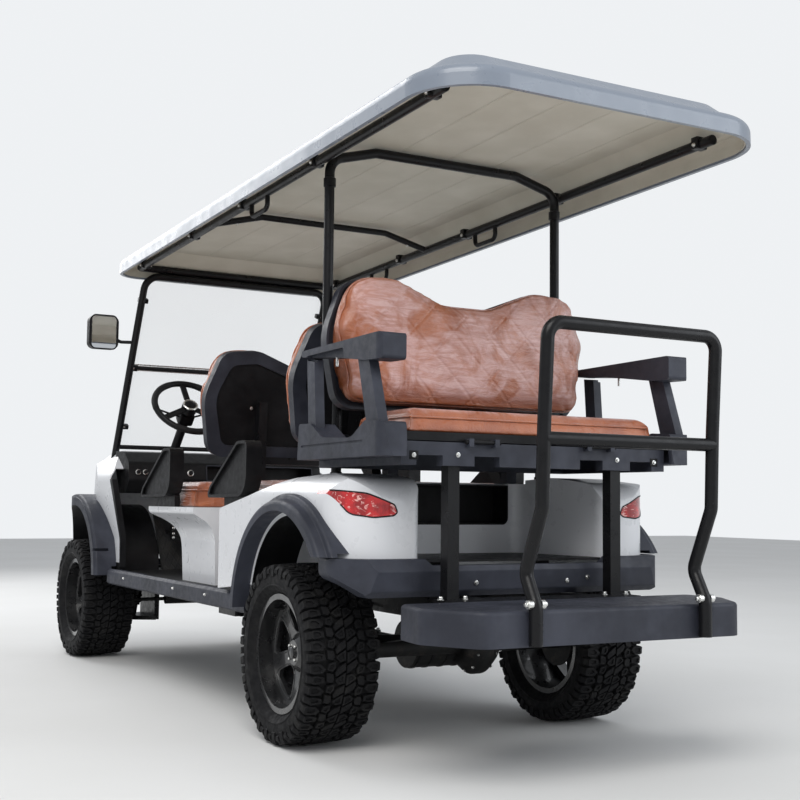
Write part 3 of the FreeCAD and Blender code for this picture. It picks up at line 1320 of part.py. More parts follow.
def make_armrests():
    base = [("-31", "908"), ("-42", "1024", "10"), ("-128", "1022", "14"), ("-215", "974", "70"), ("-412", "966", "90"),
            ("-500", "1014", "30"), ("-596", "1008", "14"), ("-608", "908")]
    base_room = [("-43", "914"), ("-52", "1008", "8"), ("-126", "1006", "8"), ("-214", "960", "50"),
                 ("-412", "952", "70"), ("-498", "996", "20"), ("-582", "992", "8"), ("-592", "914")]
    top = [("-50", "1260", "8"), ("-592", "1267", "12"), ("-592", "1188", "12"), ("-500", "1190", "20"),
           ("-265", "1222", "60"), ("-55", "1240", "8")]
    top_room = [("-80", "1228"), ("-100", "1241", "4"), ("-350", "1243", "10"), ("-368", "1180")]
    front = [("-79", "1232"), ("-134", "1226"), ("-152", "1005"), ("-97", "1010")]
    rear = [("-436", "1205"), ("-505", "1200"), ("-575", "1000"), ("-498", "1000")]
    out = "armrest_out - deck_half - fit_gap"
    middle = "-(armrest_out + deck_half + fit_gap) / 2"
    leg_middle = "-(armrest_out - 8 - armrest_leg / 2)"
    corner = view_prism("ArmCorner", "XY", [
        ("50", "deck_half + fit_gap"),
        ("50", "armrest_out"),
        ("-608", "armrest_out", "44"),
        ("-608", "deck_half + fit_gap", "10"),
    ], "deck_bottom", "400")
    solid = fuse("ArmBody", [
        plate("ArmBase", "XZ", base, out, middle),
        plate("ArmTop", "XZ", top, out, middle),
        plate("ArmFront", "XZ", front, "armrest_leg", leg_middle),
        plate("ArmRear", "XZ", rear, "armrest_leg", leg_middle),
    ])
    rooms = [
        plate("ArmBaseRoom", "XZ", base_room, out, f"{middle} + 12"),
        plate("ArmTopRoom", "XZ", top_room, "40", "-(armrest_out + 2)"),
        plate("ArmGroove", "XZ", [("-62", "947", "2"), ("-62", "954", "2"), ("-488", "957", "2"), ("-488", "950", "2")],
              "6", "-armrest_out"),
        box("BesideBack", ("-100", "50"), ("0", "back_half + 14"), ("rear_back_bottom - 20", "1400")),
    ]
    node(pair(common("Armrest", [cut("ArmCut", solid, rooms), corner])), "rear_armrests")


def make_step():
    body = doc.addObject("PartDesign::Body", "StepPan")
    outline = [
        ("-step_front", "-step_half + 20", "30"),
        ("-step_front", "step_half - 20", "30"),
        ("-step_front - 150", "step_half", "60"),
        ("-step_rear", "step_half - 100", "60"),
        ("-step_rear", "-step_half + 100", "60"),
        ("-step_front - 150", "-step_half", "60"),
    ]
    height = "step_top - step_bottom"
    pad(body, sketch_in(body, "Outline", "XY", outline, "step_bottom"), height)
    inner = [
        ("-step_front - 5", "-step_half + 26", "26"),
        ("-step_front - 5", "step_half - 26", "26"),
        ("-step_front - 150", "step_half - 6", "54"),
        ("-step_rear + 6", "step_half - 104", "54"),
        ("-step_rear + 6", "-step_half + 104", "54"),
        ("-step_front - 150", "-step_half + 6", "54"),
    ]
    room = plate("StepRoom", "XY", inner, height + " - 5", "step_bottom", both=False)
    gates = [box(f"StepGate{i}", ("-step_front - 10", "-step_front + 10"), (f"{y} - 24", f"{y} + 24"),
                 ("step_bottom - 1", "step_top - 5")) for i, y in enumerate(("-hoop_half", "hoop_half"))]
    edge = rounded("StepEdge", body, "12",
                   lambda e: abs(e.BoundBox.ZMin - number("step_top")) < 0.01)
    node(cut("Step", edge, [room] + gates), "rear_step")

    leg = [
        ("-step_rear - hoop_radius - fit_gap", "hoop_half", "step_bottom + 4"),
        ("-step_rear - hoop_radius - fit_gap", "hoop_half", "500"),
        ("-hoop_back + 85", "hoop_half", "588"),
        ("-hoop_back + 8", "hoop_half", "765"),
        ("-hoop_back", "hoop_half", "hoop_bar_z + 40"),
        ("-hoop_back - hoop_lean", "hoop_half", "hoop_top_z"),
    ]
    other = [(x, "-" + y, z) for x, y, z in reversed(leg)]
    frame = tube("HoopTube", leg + other, "hoop_radius", "44")
    bar = rod("HoopBar", "hoop_radius", "2 * hoop_half", "-hoop_back", "-hoop_half", "hoop_bar_z", "Y")
    node(fuse("Hoop", [frame, bar]), "rear_hoop")


# Roof: drawn level in its own frame, from its rear lower edge, then tipped down to the front

def roof_outline(inset):
    return [
        (inset, f"-roof_half + {inset}", f"roof_rear_corner - {inset}"),
        (f"roof_length - {inset}", f"-roof_half + {inset}", f"roof_corner - {inset}"),
        (f"roof_length - {inset}", f"roof_half - {inset}", f"roof_corner - {inset}"),
        (inset, f"roof_half - {inset}", f"roof_rear_corner - {inset}"),
    ]


def roof_form(name, inset, drop, low, rounding):
    """The roof's outer form, or the same form a skin smaller, down to a given height."""
    body = doc.addObject("PartDesign::Body", name)
    edge = f"(lip_height - {drop})"
    pad(body, sketch_in(body, "Rim", "XY", roof_outline(inset), low), f"{edge} - ({low})")
    pad(body, sketch_in(body, "Crown", "XY", roof_outline(f"({inset} + crown_inset)"), f"{edge} - 1"),
        "crown_height + 1", taper="-crown_slope")
    level = number(edge)
    reach = number("crown_inset") / 2

    def on_rim(line):
        bounds = line.BoundBox
        wide = max(abs(bounds.YMin), abs(bounds.YMax)) > number("roof_half") - number(inset) - reach
        rear = bounds.XMin < number(inset) + reach
        ahead = bounds.XMax > number("roof_length") - number(inset) - reach
        return abs(bounds.ZMin - level) < 0.01 and abs(bounds.ZMax - level) < 0.01 and (wide or rear or ahead)

    return rounded(name + "Rounded", body, rounding, on_rim)


def tip(thing):
    thing.Placement = Placement(Vector(), Rotation(Y_AXIS, 1))
    thing.setExpression("Placement.Rotation.Angle", spelled("roof_slope"))
    return thing


def roof_node(thing, label):
    node(tip(thing), label, "shift - roof_back", "0", "roof_edge")


def make_roof():
    outer = roof_form("Roof", "0", "0", "0", "34")
    inner = roof_form("RoofVoid", "lip_wall", "roof_skin", "-10", "26")
    roof_node(cut("RoofShell", outer, [inner]), "roof_shell")

    skin = roof_form("LinerForm", "(lip_wall + fit_gap)", "(roof_skin + fit_gap)", "8", "26")
    room = roof_form("LinerRoom", "(lip_wall + fit_gap + liner_skin)", "(roof_skin + fit_gap + liner_skin)", "-10",
                     "22")
    roof_node(cut("Liner", skin, [room]), "roof_liner")

    parts = []
    for side, y in (("Left", "rail_half"), ("Right", "-rail_half")):
        parts.append(rod("RoofRail" + side, "frame_tube", "roof_rail_front - roof_rail_rear", "roof_rail_rear", y,
                         "roof_rail_z", "X"))
    parts.append(rod("FrontCross", "frame_tube", "2 * rail_half", "roof_rail_front", "-rail_half", "roof_rail_z", "Y"))
    parts.append(tube("Bow", [
        ("roof_bow", "rail_half", "roof_rail_z"),
        ("roof_bow", "bow_flat", "roof_rail_z + crown_height - 4"),
        ("roof_bow", "-bow_flat", "roof_rail_z + crown_height - 4"),
        ("roof_bow", "-rail_half", "roof_rail_z"),
    ], "frame_tube - 4", "60"))
    for i, (x, y) in enumerate((("1430", "rail_half"), ("1430", "-rail_half"), ("2350", "-rail_half"))):
        parts.append(tube(f"GrabLoop{i}", [
            (x, y, "roof_rail_z"),
            (x, y, "roof_rail_z - 62"),
            (f"{x} + 150", y, "roof_rail_z - 62"),
            (f"{x} + 150", y, "roof_rail_z"),
        ], "9", "24"))
    roof_node(fuse("RoofFrame", parts), "roof_rails")

    top_z = "(roof_edge + roof_rail_z - (roof_post_x + roof_back) * tan(roof_slope))"
    posts = tube("PostTube", [
        ("roof_post_x + 20", "roof_post_foot", "post_seat + 4"),
        ("roof_post_x + 20", "roof_post_foot", "roof_post_kink - 70"),
        ("roof_post_x", "roof_post_y", "roof_post_kink"),
        ("roof_post_x", "roof_post_y", f"{top_z} + 6"),
        ("roof_post_x", "bow_flat", f"{top_z} + crown_height - 4"),
        ("roof_post_x", "-bow_flat", f"{top_z} + crown_height - 4"),
        ("roof_post_x", "-roof_post_y", f"{top_z} + 6"),
        ("roof_post_x", "-roof_post_y", "roof_post_kink"),
        ("roof_post_x + 20", "-roof_post_foot", "roof_post_kink - 70"),
        ("roof_post_x + 20", "-roof_post_foot", "post_seat + 4"),
    ], "frame_tube", "60")
    feet = [rod(f"PostFlange{i}", "36", "6", "roof_post_x + 20", y, "post_seat")
            for i, y in enumerate(("roof_post_foot", "-roof_post_foot"))]
    node(fuse("RoofPosts", [posts] + feet), "roof_posts")


# Windscreen: drawn upright in its own frame, from its foot, then raked back

def raked(thing):
    turn(thing, Vector(0, -1, 0), "screen_rake")
    return place(thing, "screen_foot_x", "0", "screen_foot_z")


def make_windscreen():
    frame = tube("ScreenTube", [
        ("0", "screen_half + 16", "-60"),
        ("0", "screen_half", "screen_rise"),
        ("0", "-screen_half", "screen_rise"),
        ("0", "-screen_half - 16", "-60"),
    ], "frame_tube", "70")
    bars = [rod("ScreenBar", "frame_tube - 6", "2 * screen_half", "0", "-screen_half", "14", "Y"),
            rod("FoldBar", "frame_tube - 8", "2 * screen_half", "0", "-screen_half", "screen_rise * 0.48", "Y")]
    node(cut("ScreenSeat", raked(fuse("ScreenFrame", [frame] + bars)), [cowl_form]), "windscreen_frame")

    panes = []
    for name, low, high, corner in (("LowerPane", "20", "screen_rise * 0.48 - 2", "20"),
                                    ("UpperPane", "screen_rise * 0.48 + 2", "screen_rise", "60")):
        panes.append(plate(name, "YZ", [
            ("-screen_half - 14", low, "20"),
            ("screen_half + 14", low, "20"),
            ("screen_half + 2", high, corner),
            ("-screen_half - 2", high, corner),
        ], "pane_wall", "frame_tube + fit_gap", both=False))
    node(cut("PaneSeat", raked(fuse("Panes", panes)), [cowl_form]), "windscreen_panes")

    at_z = "1528"
    rake_x = f"(screen_foot_x - ({at_z} - screen_foot_z) * tan(screen_rake))"
    head = plate("MirrorHead", "YZ", [
        ("556", f"{at_z} - 40", "30"),
        ("697", f"{at_z} - 40", "30"),
        ("697", f"{at_z} + 120", "30"),
        ("556", f"{at_z} + 120", "30"),
    ], "42", f"{rake_x} + 4", both=False)
    arm = tube("MirrorArm", [
        (rake_x, "screen_half - 6", at_z),
        (f"{rake_x} + 26", "545", at_z),
        (f"{rake_x} + 26", "590", f"{at_z} + 40"),
    ], "8", "30")
    seat = tube("MirrorSeat", [("screen_foot_x", "screen_half + 14", "screen_foot_z"),
                               (rake_x, "screen_half + 6", at_z),
                               (f"{rake_x} - 60", "screen_half + 4", f"{at_z} + 160")], "frame_tube + fit_gap", "500")
    node(pair(cut("MirrorFit", fuse("Mirror", [head, arm]), [seat])), "mirrors")


make_wheels()
make_chassis()
make_rear_axle()
make_front_suspension()
make_steering()
make_rear_body()
make_rear_bumper()
make_flares()
make_front_body()
make_dashboard()
make_seats()
make_rear_deck()
make_armrests()
make_step()
make_roof()
make_windscreen()
doc.recompute()

for thing in doc.Objects:
    if {"Invalid", "Error"} & set(thing.State):
        raise RuntimeError(f"{thing.Name} failed: {thing.State}")
for thing in nodes:
    if thing.Shape.isNull() or not thing.Shape.isValid() or not thing.Shape.Solids:
        raise RuntimeError(f"{thing.Label} has no valid solid")

os.makedirs("parts", exist_ok=True)
for thing in nodes:
    thing.Shape.exportStep(f"parts/{thing.Label}.step")
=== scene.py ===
import math

import bmesh
import bpy
from mathutils import Matrix, Vector
from mathutils.bvhtree import BVHTree


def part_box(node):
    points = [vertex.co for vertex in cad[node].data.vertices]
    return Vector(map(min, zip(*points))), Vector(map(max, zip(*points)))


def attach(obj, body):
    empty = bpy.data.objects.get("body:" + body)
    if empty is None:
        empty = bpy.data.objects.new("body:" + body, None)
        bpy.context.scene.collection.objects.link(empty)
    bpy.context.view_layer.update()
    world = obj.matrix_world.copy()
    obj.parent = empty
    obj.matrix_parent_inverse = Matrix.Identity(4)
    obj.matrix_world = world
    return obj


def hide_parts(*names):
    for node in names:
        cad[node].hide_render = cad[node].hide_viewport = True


# A lifted six-seat golf cart. Metres, in the row frame: X forward, Y to the left, Z up from the ground.

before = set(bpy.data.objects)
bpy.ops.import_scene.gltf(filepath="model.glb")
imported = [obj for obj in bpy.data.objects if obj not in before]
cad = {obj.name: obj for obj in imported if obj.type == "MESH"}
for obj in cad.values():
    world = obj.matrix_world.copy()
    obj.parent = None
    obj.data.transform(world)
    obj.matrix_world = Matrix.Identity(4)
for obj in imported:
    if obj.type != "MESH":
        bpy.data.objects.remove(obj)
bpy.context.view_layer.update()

MM = 0.001
REAR_AXLE = sum(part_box("rim_rear_left"), Vector()) / 2
TYRE_RADIUS = (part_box("tyre_rear_left")[1].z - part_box("tyre_rear_left")[0].z) / 2
TYRE_HALF = (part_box("tyre_rear_left")[1].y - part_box("tyre_rear_left")[0].y) / 2
FORWARD = (1, 0, 0)
BACKWARD = (-1, 0, 0)
INWARD = (0, -1, 0)
UP = (0, 0, 1)
DOWN = (0, 0, -1)

# Places and angles of the CAD model, in millimetres and radians
WHEELBASE = 2550
AXLE_UP = 288
REAR_ARCH = -35
FRONT_ARCH = 2532.5
ARCH_UP = 400
ROOF_TIP = math.radians(1.5)
RAIL_OUT = 500
RAIL_UP = 43
SCREEN_RAKE = math.atan(360 / 812)
SCREEN_TALL = 888
SCREEN_FOLD = SCREEN_TALL * 0.48
CLAMP_OUT = 466
COLUMN_SLOPE = math.radians(44)


def at(x, y, z):
    """A point whose x is counted from the rear axle, as on a drawing of the cart. Millimetres."""
    return Vector((REAR_AXLE.x + x * MM, y * MM, z * MM))


def turned_at(base_x, base_z, angle, x, y, z):
    """A point in a frame that stands at a base and is tipped forwards by an angle."""
    sine = math.sin(angle)
    cosine = math.cos(angle)
    return at(base_x + x * cosine + z * sine, y, base_z - x * sine + z * cosine)


def under_roof(x, y, z):
    """A point in the frame of the roof: from its rear lower edge, tipped down towards the front."""
    return turned_at(-980, 1901, ROOF_TIP, x, y, z)


def on_screen(x, y, z):
    """A point in the frame of the windscreen: from its foot, raked back."""
    return turned_at(2325, 1020, -SCREEN_RAKE, x, y, z)


def by_column(x, y, z):
    """A point in the frame of the steering wheel: x up across its face, z along the column to the driver."""
    sine = math.sin(COLUMN_SLOPE)
    cosine = math.cos(COLUMN_SLOPE)
    return at(1800 + x * sine - z * cosine, 300 + y, 1205 + x * cosine + z * sine)


# Materials

class Look:
    """A node material built round one Principled shader."""

    def __init__(self, name, color, rough, **sockets):
        self.material = bpy.data.materials.new(name)
        self.material.use_nodes = True
        self.tree = self.material.node_tree
        self.shader = self.tree.nodes["Principled BSDF"]
        self.shader.inputs["Base Color"].default_value = (*color, 1)
        self.shader.inputs["Roughness"].default_value = rough
        for socket, value in sockets.items():
            self.shader.inputs[socket.replace("_", " ").title().replace("Ior", "IOR")].default_value = value
        self.where = self.add("ShaderNodeTexCoord").outputs["Object"]

    def add(self, kind, **fields):
        node = self.tree.nodes.new(kind)
        for name, value in fields.items():
            setattr(node, name, value)
        return node

    def feed(self, node, **inputs):
        for name, value in inputs.items():
            socket = node.inputs[int(name[1:])] if name[0] == "i" and name[1:].isdigit() else \
                node.inputs[name.replace("_", " ").title()]
            if isinstance(value, bpy.types.NodeSocket):
                self.tree.links.new(value, socket)
            else:
                socket.default_value = value
        return node

    def stretched(self, scale):
        return self.feed(self.add("ShaderNodeMapping"), vector=self.where, scale=scale).outputs[0]

    def noise(self, scale, detail=3, rough=0.5, stretch=(1, 1, 1), distortion=0):
        node = self.add("ShaderNodeTexNoise")
        self.feed(node, vector=self.stretched(stretch), scale=scale, detail=detail, roughness=rough,
                  distortion=distortion)
        return node.outputs["Fac"]

    def cells(self, scale):
        node = self.add("ShaderNodeTexVoronoi")
        self.feed(node, vector=self.stretched((1, 1, 1)), scale=scale)
        return node.outputs["Distance"]

    def math(self, operation, a, b=0.0):
        return self.feed(self.add("ShaderNodeMath", operation=operation), i0=a, i1=b).outputs[0]

    def product(self, a, b):
        return self.math("MULTIPLY", a, b)

    def saw(self, value):
        """How far a value is from the middle of its period of 1."""
        return self.math("ABSOLUTE", self.math("SUBTRACT", self.math("FRACT", value), 0.5))

    def ramp(self, value, low, high, to_low=0.0, to_high=1.0):
        node = self.add("ShaderNodeMapRange", interpolation_type="SMOOTHSTEP")
        return self.feed(node, i0=value, i1=low, i2=high, i3=to_low, i4=to_high).outputs[0]

    def mix(self, mask, a, b):
        node = self.add("ShaderNodeMix", data_type="RGBA")
        colors = [tuple(c) + (1,) if isinstance(c, tuple) else c for c in (a, b)]
        return self.feed(node, i0=mask, i6=colors[0], i7=colors[1]).outputs[2]

    def color(self, value):
        self.tree.links.new(value, self.shader.inputs["Base Color"])

    def roughness(self, value):
        self.tree.links.new(value, self.shader.inputs["Roughness"])

    def bump(self, height, depth, before=None, socket="Normal"):
        node = self.feed(self.add("ShaderNodeBump"), height=height, distance=depth, strength=1.0)
        if before:
            self.tree.links.new(before, node.inputs["Normal"])
        self.tree.links.new(node.outputs[0], self.shader.inputs[socket])
        return node.outputs[0]

    def axis(self, letter):
        split = self.feed(self.add("ShaderNodeSeparateXYZ"), vector=self.where)
        return split.outputs["XYZ".index(letter)]

    def facing(self, direction):
        """How far the surface turns towards a fixed direction of the cart, from -1 to 1."""
        normal = self.add("ShaderNodeNewGeometry").outputs["Normal"]
        local = self.add("ShaderNodeVectorTransform", vector_type="NORMAL", convert_from="WORLD",
                         convert_to="OBJECT")
        self.feed(local, vector=normal)
        node = self.add("ShaderNodeVectorMath", operation="DOT_PRODUCT")
        self.tree.links.new(local.outputs[0], node.inputs[0])
        node.inputs[1].default_value = Vector(direction).normalized()
        return node.outputs["Value"]


def moulded(name, color, rough, grain=900, depth=0.00012, sheen=0.3):
    """Moulded plastic: a fine leather-like grain, faint shade changes and dust."""
    look = Look(name, color, rough, specular_ior_level=sheen)
    patches = look.noise(5, 4, 0.6)
    light = tuple(min(1, c * 1.35 + 0.006) for c in color)
    dark = tuple(c * 0.8 for c in color)
    look.color(look.mix(look.ramp(patches, 0.35, 0.7), dark, light))
    look.roughness(look.ramp(look.noise(38, 5, 0.6), 0.3, 0.75, rough - 0.07, rough + 0.12))
    cells = look.cells(grain)
    fine = look.noise(grain * 0.6, 2)
    look.bump(look.math("ADD", cells, fine), depth)
    return look


def painted(name, color, rough, coat, dirt=0.08):
    """Gloss paint or gel coat with faint waviness and a little dust low down."""
    look = Look(name, color, rough, coat_weight=coat, coat_roughness=0.06)
    low_down = look.ramp(look.axis("Z"), 0.75, 0.42)
    dust = look.product(low_down, look.ramp(look.noise(9, 6, 0.65), 0.45, 0.7))
    look.color(look.mix(look.product(dust, dirt), color, (0.42, 0.38, 0.31)))
    look.roughness(look.ramp(look.noise(22, 4), 0.3, 0.7, rough * 0.8, rough * 1.25))
    look.bump(look.noise(260, 2), 0.00002)
    return look


def powder_coat(name, color=(0.006, 0.006, 0.007), rough=0.32, sheen=0.25, coat=0.0):
    look = Look(name, color, rough, specular_ior_level=sheen, coat_weight=coat, coat_roughness=0.08)
    look.roughness(look.ramp(look.noise(30, 4, 0.6), 0.3, 0.7, rough - 0.06, rough + 0.1))
    worn = look.ramp(look.noise(70, 6, 0.7), 0.66, 0.74)
    look.color(look.mix(worn, color, tuple(c * 2.2 + 0.01 for c in color)))
    look.bump(look.noise(700, 3), 0.00006)
    return look


def tyre_rubber():
    look = Look("tyre_rubber", (0.008, 0.008, 0.009), 0.7, specular_ior_level=0.22)
    dust = look.ramp(look.noise(14, 6, 0.7), 0.45, 0.75)
    look.color(look.mix(dust, (0.006, 0.006, 0.007), (0.018, 0.0175, 0.017)))
    look.roughness(look.ramp(look.noise(60, 4), 0.3, 0.7, 0.6, 0.85))
    look.bump(look.noise(480, 4, 0.6), 0.0003)
    return look


def bright_zinc():
    look = Look("bright_zinc", (0.72, 0.72, 0.7), 0.26, metallic=1.0)
    look.roughness(look.ramp(look.noise(160, 4), 0.3, 0.7, 0.18, 0.4))
    look.bump(look.noise(900, 2), 0.00004)
    return look


def cast_iron():
    look = Look("cast_iron", (0.02, 0.02, 0.02), 0.55, metallic=0.3, specular_ior_level=0.35)
    rust = look.ramp(look.noise(24, 6, 0.7), 0.5, 0.75)
    look.color(look.mix(rust, (0.016, 0.016, 0.016), (0.05, 0.042, 0.036)))
    look.bump(look.noise(300, 5, 0.6), 0.0003)
    return look


def floor_mat():
    """Black mat with a raised pattern of small diamonds."""
    look = Look("floor_mat", (0.01, 0.01, 0.011), 0.6, specular_ior_level=0.3)
    size = 0.034
    x = look.axis("X")
    y = look.axis("Y")
    waves = []
    for sign in (1, -1):
        across = look.math("ADD", x, look.product(y, sign))
        waves.append(look.saw(look.math("DIVIDE", across, size)))
    ridge = look.math("MAXIMUM", waves[0], waves[1])
    raised = look.ramp(ridge, 0.36, 0.44)
    look.color(look.mix(look.ramp(look.noise(12, 5), 0.4, 0.8), (0.008, 0.008, 0.009), (0.024, 0.023, 0.021)))
    look.bump(raised, 0.0015)
    return look


def mirror_glass():
    look = Look("mirror_glass", (0.80, 0.82, 0.84), 0.02, metallic=1.0)
    look.roughness(look.ramp(look.noise(18, 5), 0.4, 0.8, 0.015, 0.06))
    return look


def vinyl(name, facing, quilt, bare=None):
    """Saddle brown vinyl, quilted on its face, under the clear wrinkled film that it was delivered in.

    facing is the way its face looks, quilt the two axes and the size of the diamonds, and bare the heights
    between which the film lies flat on the vinyl and shows its colour. The film's pale streaks are painted
    sheen:
    highlights laid into the colour, only on the parts of the face that turn towards its facing, and only
    between these heights when they are given.
    """
    look = Look(name, (0.36, 0.105, 0.04), 0.4, coat_weight=1.0, coat_roughness=0.06, coat_ior=1.5)
    tone = look.mix(look.ramp(look.noise(7, 5, 0.6), 0.3, 0.75), (0.30, 0.075, 0.024), (0.44, 0.13, 0.045))
    turned = look.ramp(look.facing(facing), 0.55, 0.95)
    level = abs(facing[2]) > 0.7
    across = (0.22, 1, 0.6) if level else (1, 0.16, 1)
    fine = look.noise(42, 8, 0.66, across, 1.6)
    coarse = look.noise(13, 5, 0.6, (0.3, 1, 1) if level else (1, 0.3, 1), 2.4)
    clumps = look.ramp(look.noise(6, 4, 0.55, distortion=1.2), 0.36, 0.56)
    streaks = look.ramp(fine, 0.36, 0.66)
    # Painted sheen: pale highlight streaks of the film, in clumps, on the face turned towards its facing.
    painted_sheen = look.product(look.product(turned, clumps), look.math("ADD", look.product(streaks, 0.55), 0.4))
    if bare:
        low, high = bare
        height = look.axis("Z")
        above = look.ramp(height, low, low + 0.05)
        painted_sheen = look.product(painted_sheen, look.product(above, look.ramp(height, high, high - 0.04)))
    # Mixes the painted sheen's pale pink highlight into the vinyl's tone.
    look.color(look.mix(painted_sheen, tone, (0.66, 0.42, 0.40)))
    look.roughness(look.math("ADD", look.product(painted_sheen, 0.22), 0.32))
    letters, size, depth = quilt
    ways = [look.axis(letter) for letter in letters]
    lines = []
    for sign in (1, -1):
        way = look.math("ADD", ways[0], look.product(ways[1], sign))
        lines.append(look.ramp(look.saw(look.math("DIVIDE", way, size)), 0.0, 0.09))
    stitched = look.product(look.math("MINIMUM", lines[0], lines[1]), turned)
    grain = look.bump(look.cells(1500), 0.0001)
    grain = look.bump(stitched, depth, grain)
    wrinkles = look.math("ADD", look.product(coarse, 2.0), fine)
    look.bump(wrinkles, 0.007, grain, "Coat Normal")
    look.bump(wrinkles, 0.0012, grain)
    return look


def liner_skin():
    """Cream roof liner with a soft mottled face and long pressed grooves."""
    look = Look("liner_skin", (0.60, 0.57, 0.48), 0.55)
    look.color(look.mix(look.ramp(look.noise(6, 5), 0.3, 0.8), (0.56, 0.53, 0.44), (0.64, 0.61, 0.52)))
    turns = look.math("ADD", look.math("DIVIDE", look.axis("Y"), 0.19), 0.5)
    groove = look.ramp(look.saw(turns), 0.0, 0.035)
    pressed = look.bump(look.math("MAXIMUM", groove, look.ramp(look.facing(DOWN), 0.97, 0.93)), 0.0025)
    look.bump(look.noise(420, 3), 0.0001, pressed)
    return look


def acrylic():
    look = Look("acrylic", (0.80, 0.84, 0.84), 0.04, alpha=0.10, coat_weight=1.0, coat_roughness=0.02)
    look.roughness(look.ramp(look.noise(14, 5), 0.4, 0.8, 0.03, 0.12))
    return look


def red_lens():
    """A red moulded lens: fine flutes, and pale streaks from the light guides behind it."""
    look = Look("red_lens", (0.42, 0.004, 0.006), 0.14, coat_weight=1.0, coat_roughness=0.03)
    streaks = look.ramp(look.noise(58, 4, 0.6, (1, 0.3, 1), 1.4), 0.54, 0.66)
    guides = look.product(streaks, look.ramp(look.noise(16, 3), 0.40, 0.52))
    red = look.mix(look.ramp(look.noise(20, 3), 0.35, 0.62), (0.30, 0.003, 0.005), (0.62, 0.012, 0.014))
    look.color(look.mix(guides, red, (0.92, 0.50, 0.46)))
    look.bump(look.saw(look.product(look.axis("Y"), 130)), 0.0006)
    return look


def clear_lens():
    look = Look("clear_lens", (0.58, 0.60, 0.62), 0.1, coat_weight=1.0, coat_roughness=0.02, metallic=0.35)
    look.bump(look.saw(look.product(look.axis("Y"), 90)), 0.0008)
    return look


looks = {
    "grey_plastic": moulded("grey_plastic", (0.030, 0.033, 0.046), 0.5),
    "shell_grey": moulded("shell_grey", (0.024, 0.026, 0.036), 0.42),
    "black_plastic": moulded("black_plastic", (0.005, 0.005, 0.006), 0.42, sheen=0.18),
    "soft_grip": moulded("soft_grip", (0.008, 0.008, 0.009), 0.62, 1500, 0.0002, 0.25),
    "white_panel": painted("white_panel", (0.72, 0.73, 0.755), 0.32, 0.3),
    "roof_gloss": painted("roof_gloss", (0.20, 0.23, 0.28), 0.32, 0.3, 0.0),
    "cream_liner": liner_skin(),
    "black_steel": powder_coat("black_steel"),
    "rim_black": powder_coat("rim_black", (0.012, 0.012, 0.013), 0.3, 0.5, 1.0),
    "tyre": tyre_rubber(),
    "axle_iron": cast_iron(),
    "floor_rubber": floor_mat(),
    "zinc": bright_zinc(),
    "mirror_glass": mirror_glass(),
    "clear_acrylic": acrylic(),
    "red_lens": red_lens(),
    "clear_lens": clear_lens(),
    "vinyl_rear_back": vinyl("vinyl_rear_back", (-1, 0, 0.05), ("YZ", 0.15, 0.0012), (1.105, 1.535)),
    "vinyl_front_back": vinyl("vinyl_front_back", (1, 0, 0.17), ("YZ", 0.15, 0.0012)),
    "vinyl_cushion": vinyl("vinyl_cushion", (0, 0, 1), ("XY", 0.15, 0.0012)),
}


def dress(thing, name):
    """Gives a mesh or curve one material."""
    slots = thing.data.materials
    slots.clear()
    slots.append(looks[name].material)
    return thing


# Making and placing meshes

def linked(name, data):
    thing = bpy.data.objects.new(name, data)
    bpy.context.scene.collection.objects.link(thing)
    return thing


def piece(name, mesh, look, body="chassis", smooth=40):
    """A finished piece: a mesh with a material, riding on a body."""
    if isinstance(mesh, bmesh.types.BMesh):
        data = bpy.data.meshes.new(name)
        bmesh.ops.recalc_face_normals(mesh, faces=mesh.faces)
        mesh.to_mesh(data)
        mesh.free()
        mesh = data
    thing = linked(name, mesh)
    if smooth:
        mesh.shade_smooth()
        mesh.set_sharp_from_angle(angle=math.radians(smooth))
    dress(thing, look)
    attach(thing, body)
    return thing


def baked(thing):
    """The mesh of an object with its modifiers applied."""
    shown = thing.evaluated_get(bpy.context.evaluated_depsgraph_get())
    return bpy.data.meshes.new_from_object(shown)


def facing_frame(normal, place):
    """A matrix that takes +Z to the normal and the origin to the place."""
    return Matrix.Translation(place) @ Vector(normal).to_track_quat("Z", "Y").to_matrix().to_4x4()


def disc_stack(mesh, rings, matrix, sides=16):
    """A turned form along +Z. Each ring is (height, radius)."""
    turns = [2 * math.pi * i / sides for i in range(sides)]
    loops = []
    for height, radius in rings:
        loops.append([mesh.verts.new(matrix @ Vector((radius * math.cos(a), radius * math.sin(a), height)))
                      for a in turns])
    for low, high in zip(loops, loops[1:]):
        for i in range(sides):
            j = (i + 1) % sides
            mesh.faces.new((low[i], low[j], high[j], high[i]))
    mesh.faces.new(list(reversed(loops[0])))
    mesh.faces.new(loops[-1])


def bolt(mesh, place, normal, size=0.013, washer=True):
    """A flanged hexagon bolt head, sitting on a face."""
    matrix = facing_frame(normal, place)
    foot = size * 0.2
    if washer:
        disc_stack(mesh, ((0, size * 0.95), (size * 0.16, size * 0.95), (foot, size * 0.85)), matrix, 20)
    disc_stack(mesh, ((foot, size * 0.66), (size * 0.72, size * 0.66), (size * 0.86, size * 0.56)), matrix, 6)


trees = {}


def on(node, start, way):
    """Where a ray from a point first meets a CAD node, and the normal there, turned to the point."""
    if node not in trees:
        mesh = cad[node].data
        faces = [face.vertices[:] for face in mesh.polygons]
        trees[node] = BVHTree.FromPolygons([vert.co for vert in mesh.vertices], faces)
    place, normal = trees[node].ray_cast(start, Vector(way).normalized())[:2]
    if place is None:
        raise ValueError(f"{node} isn't met from {tuple(start)}")
    return place, (-normal if normal.dot(Vector(way)) > 0 else normal)


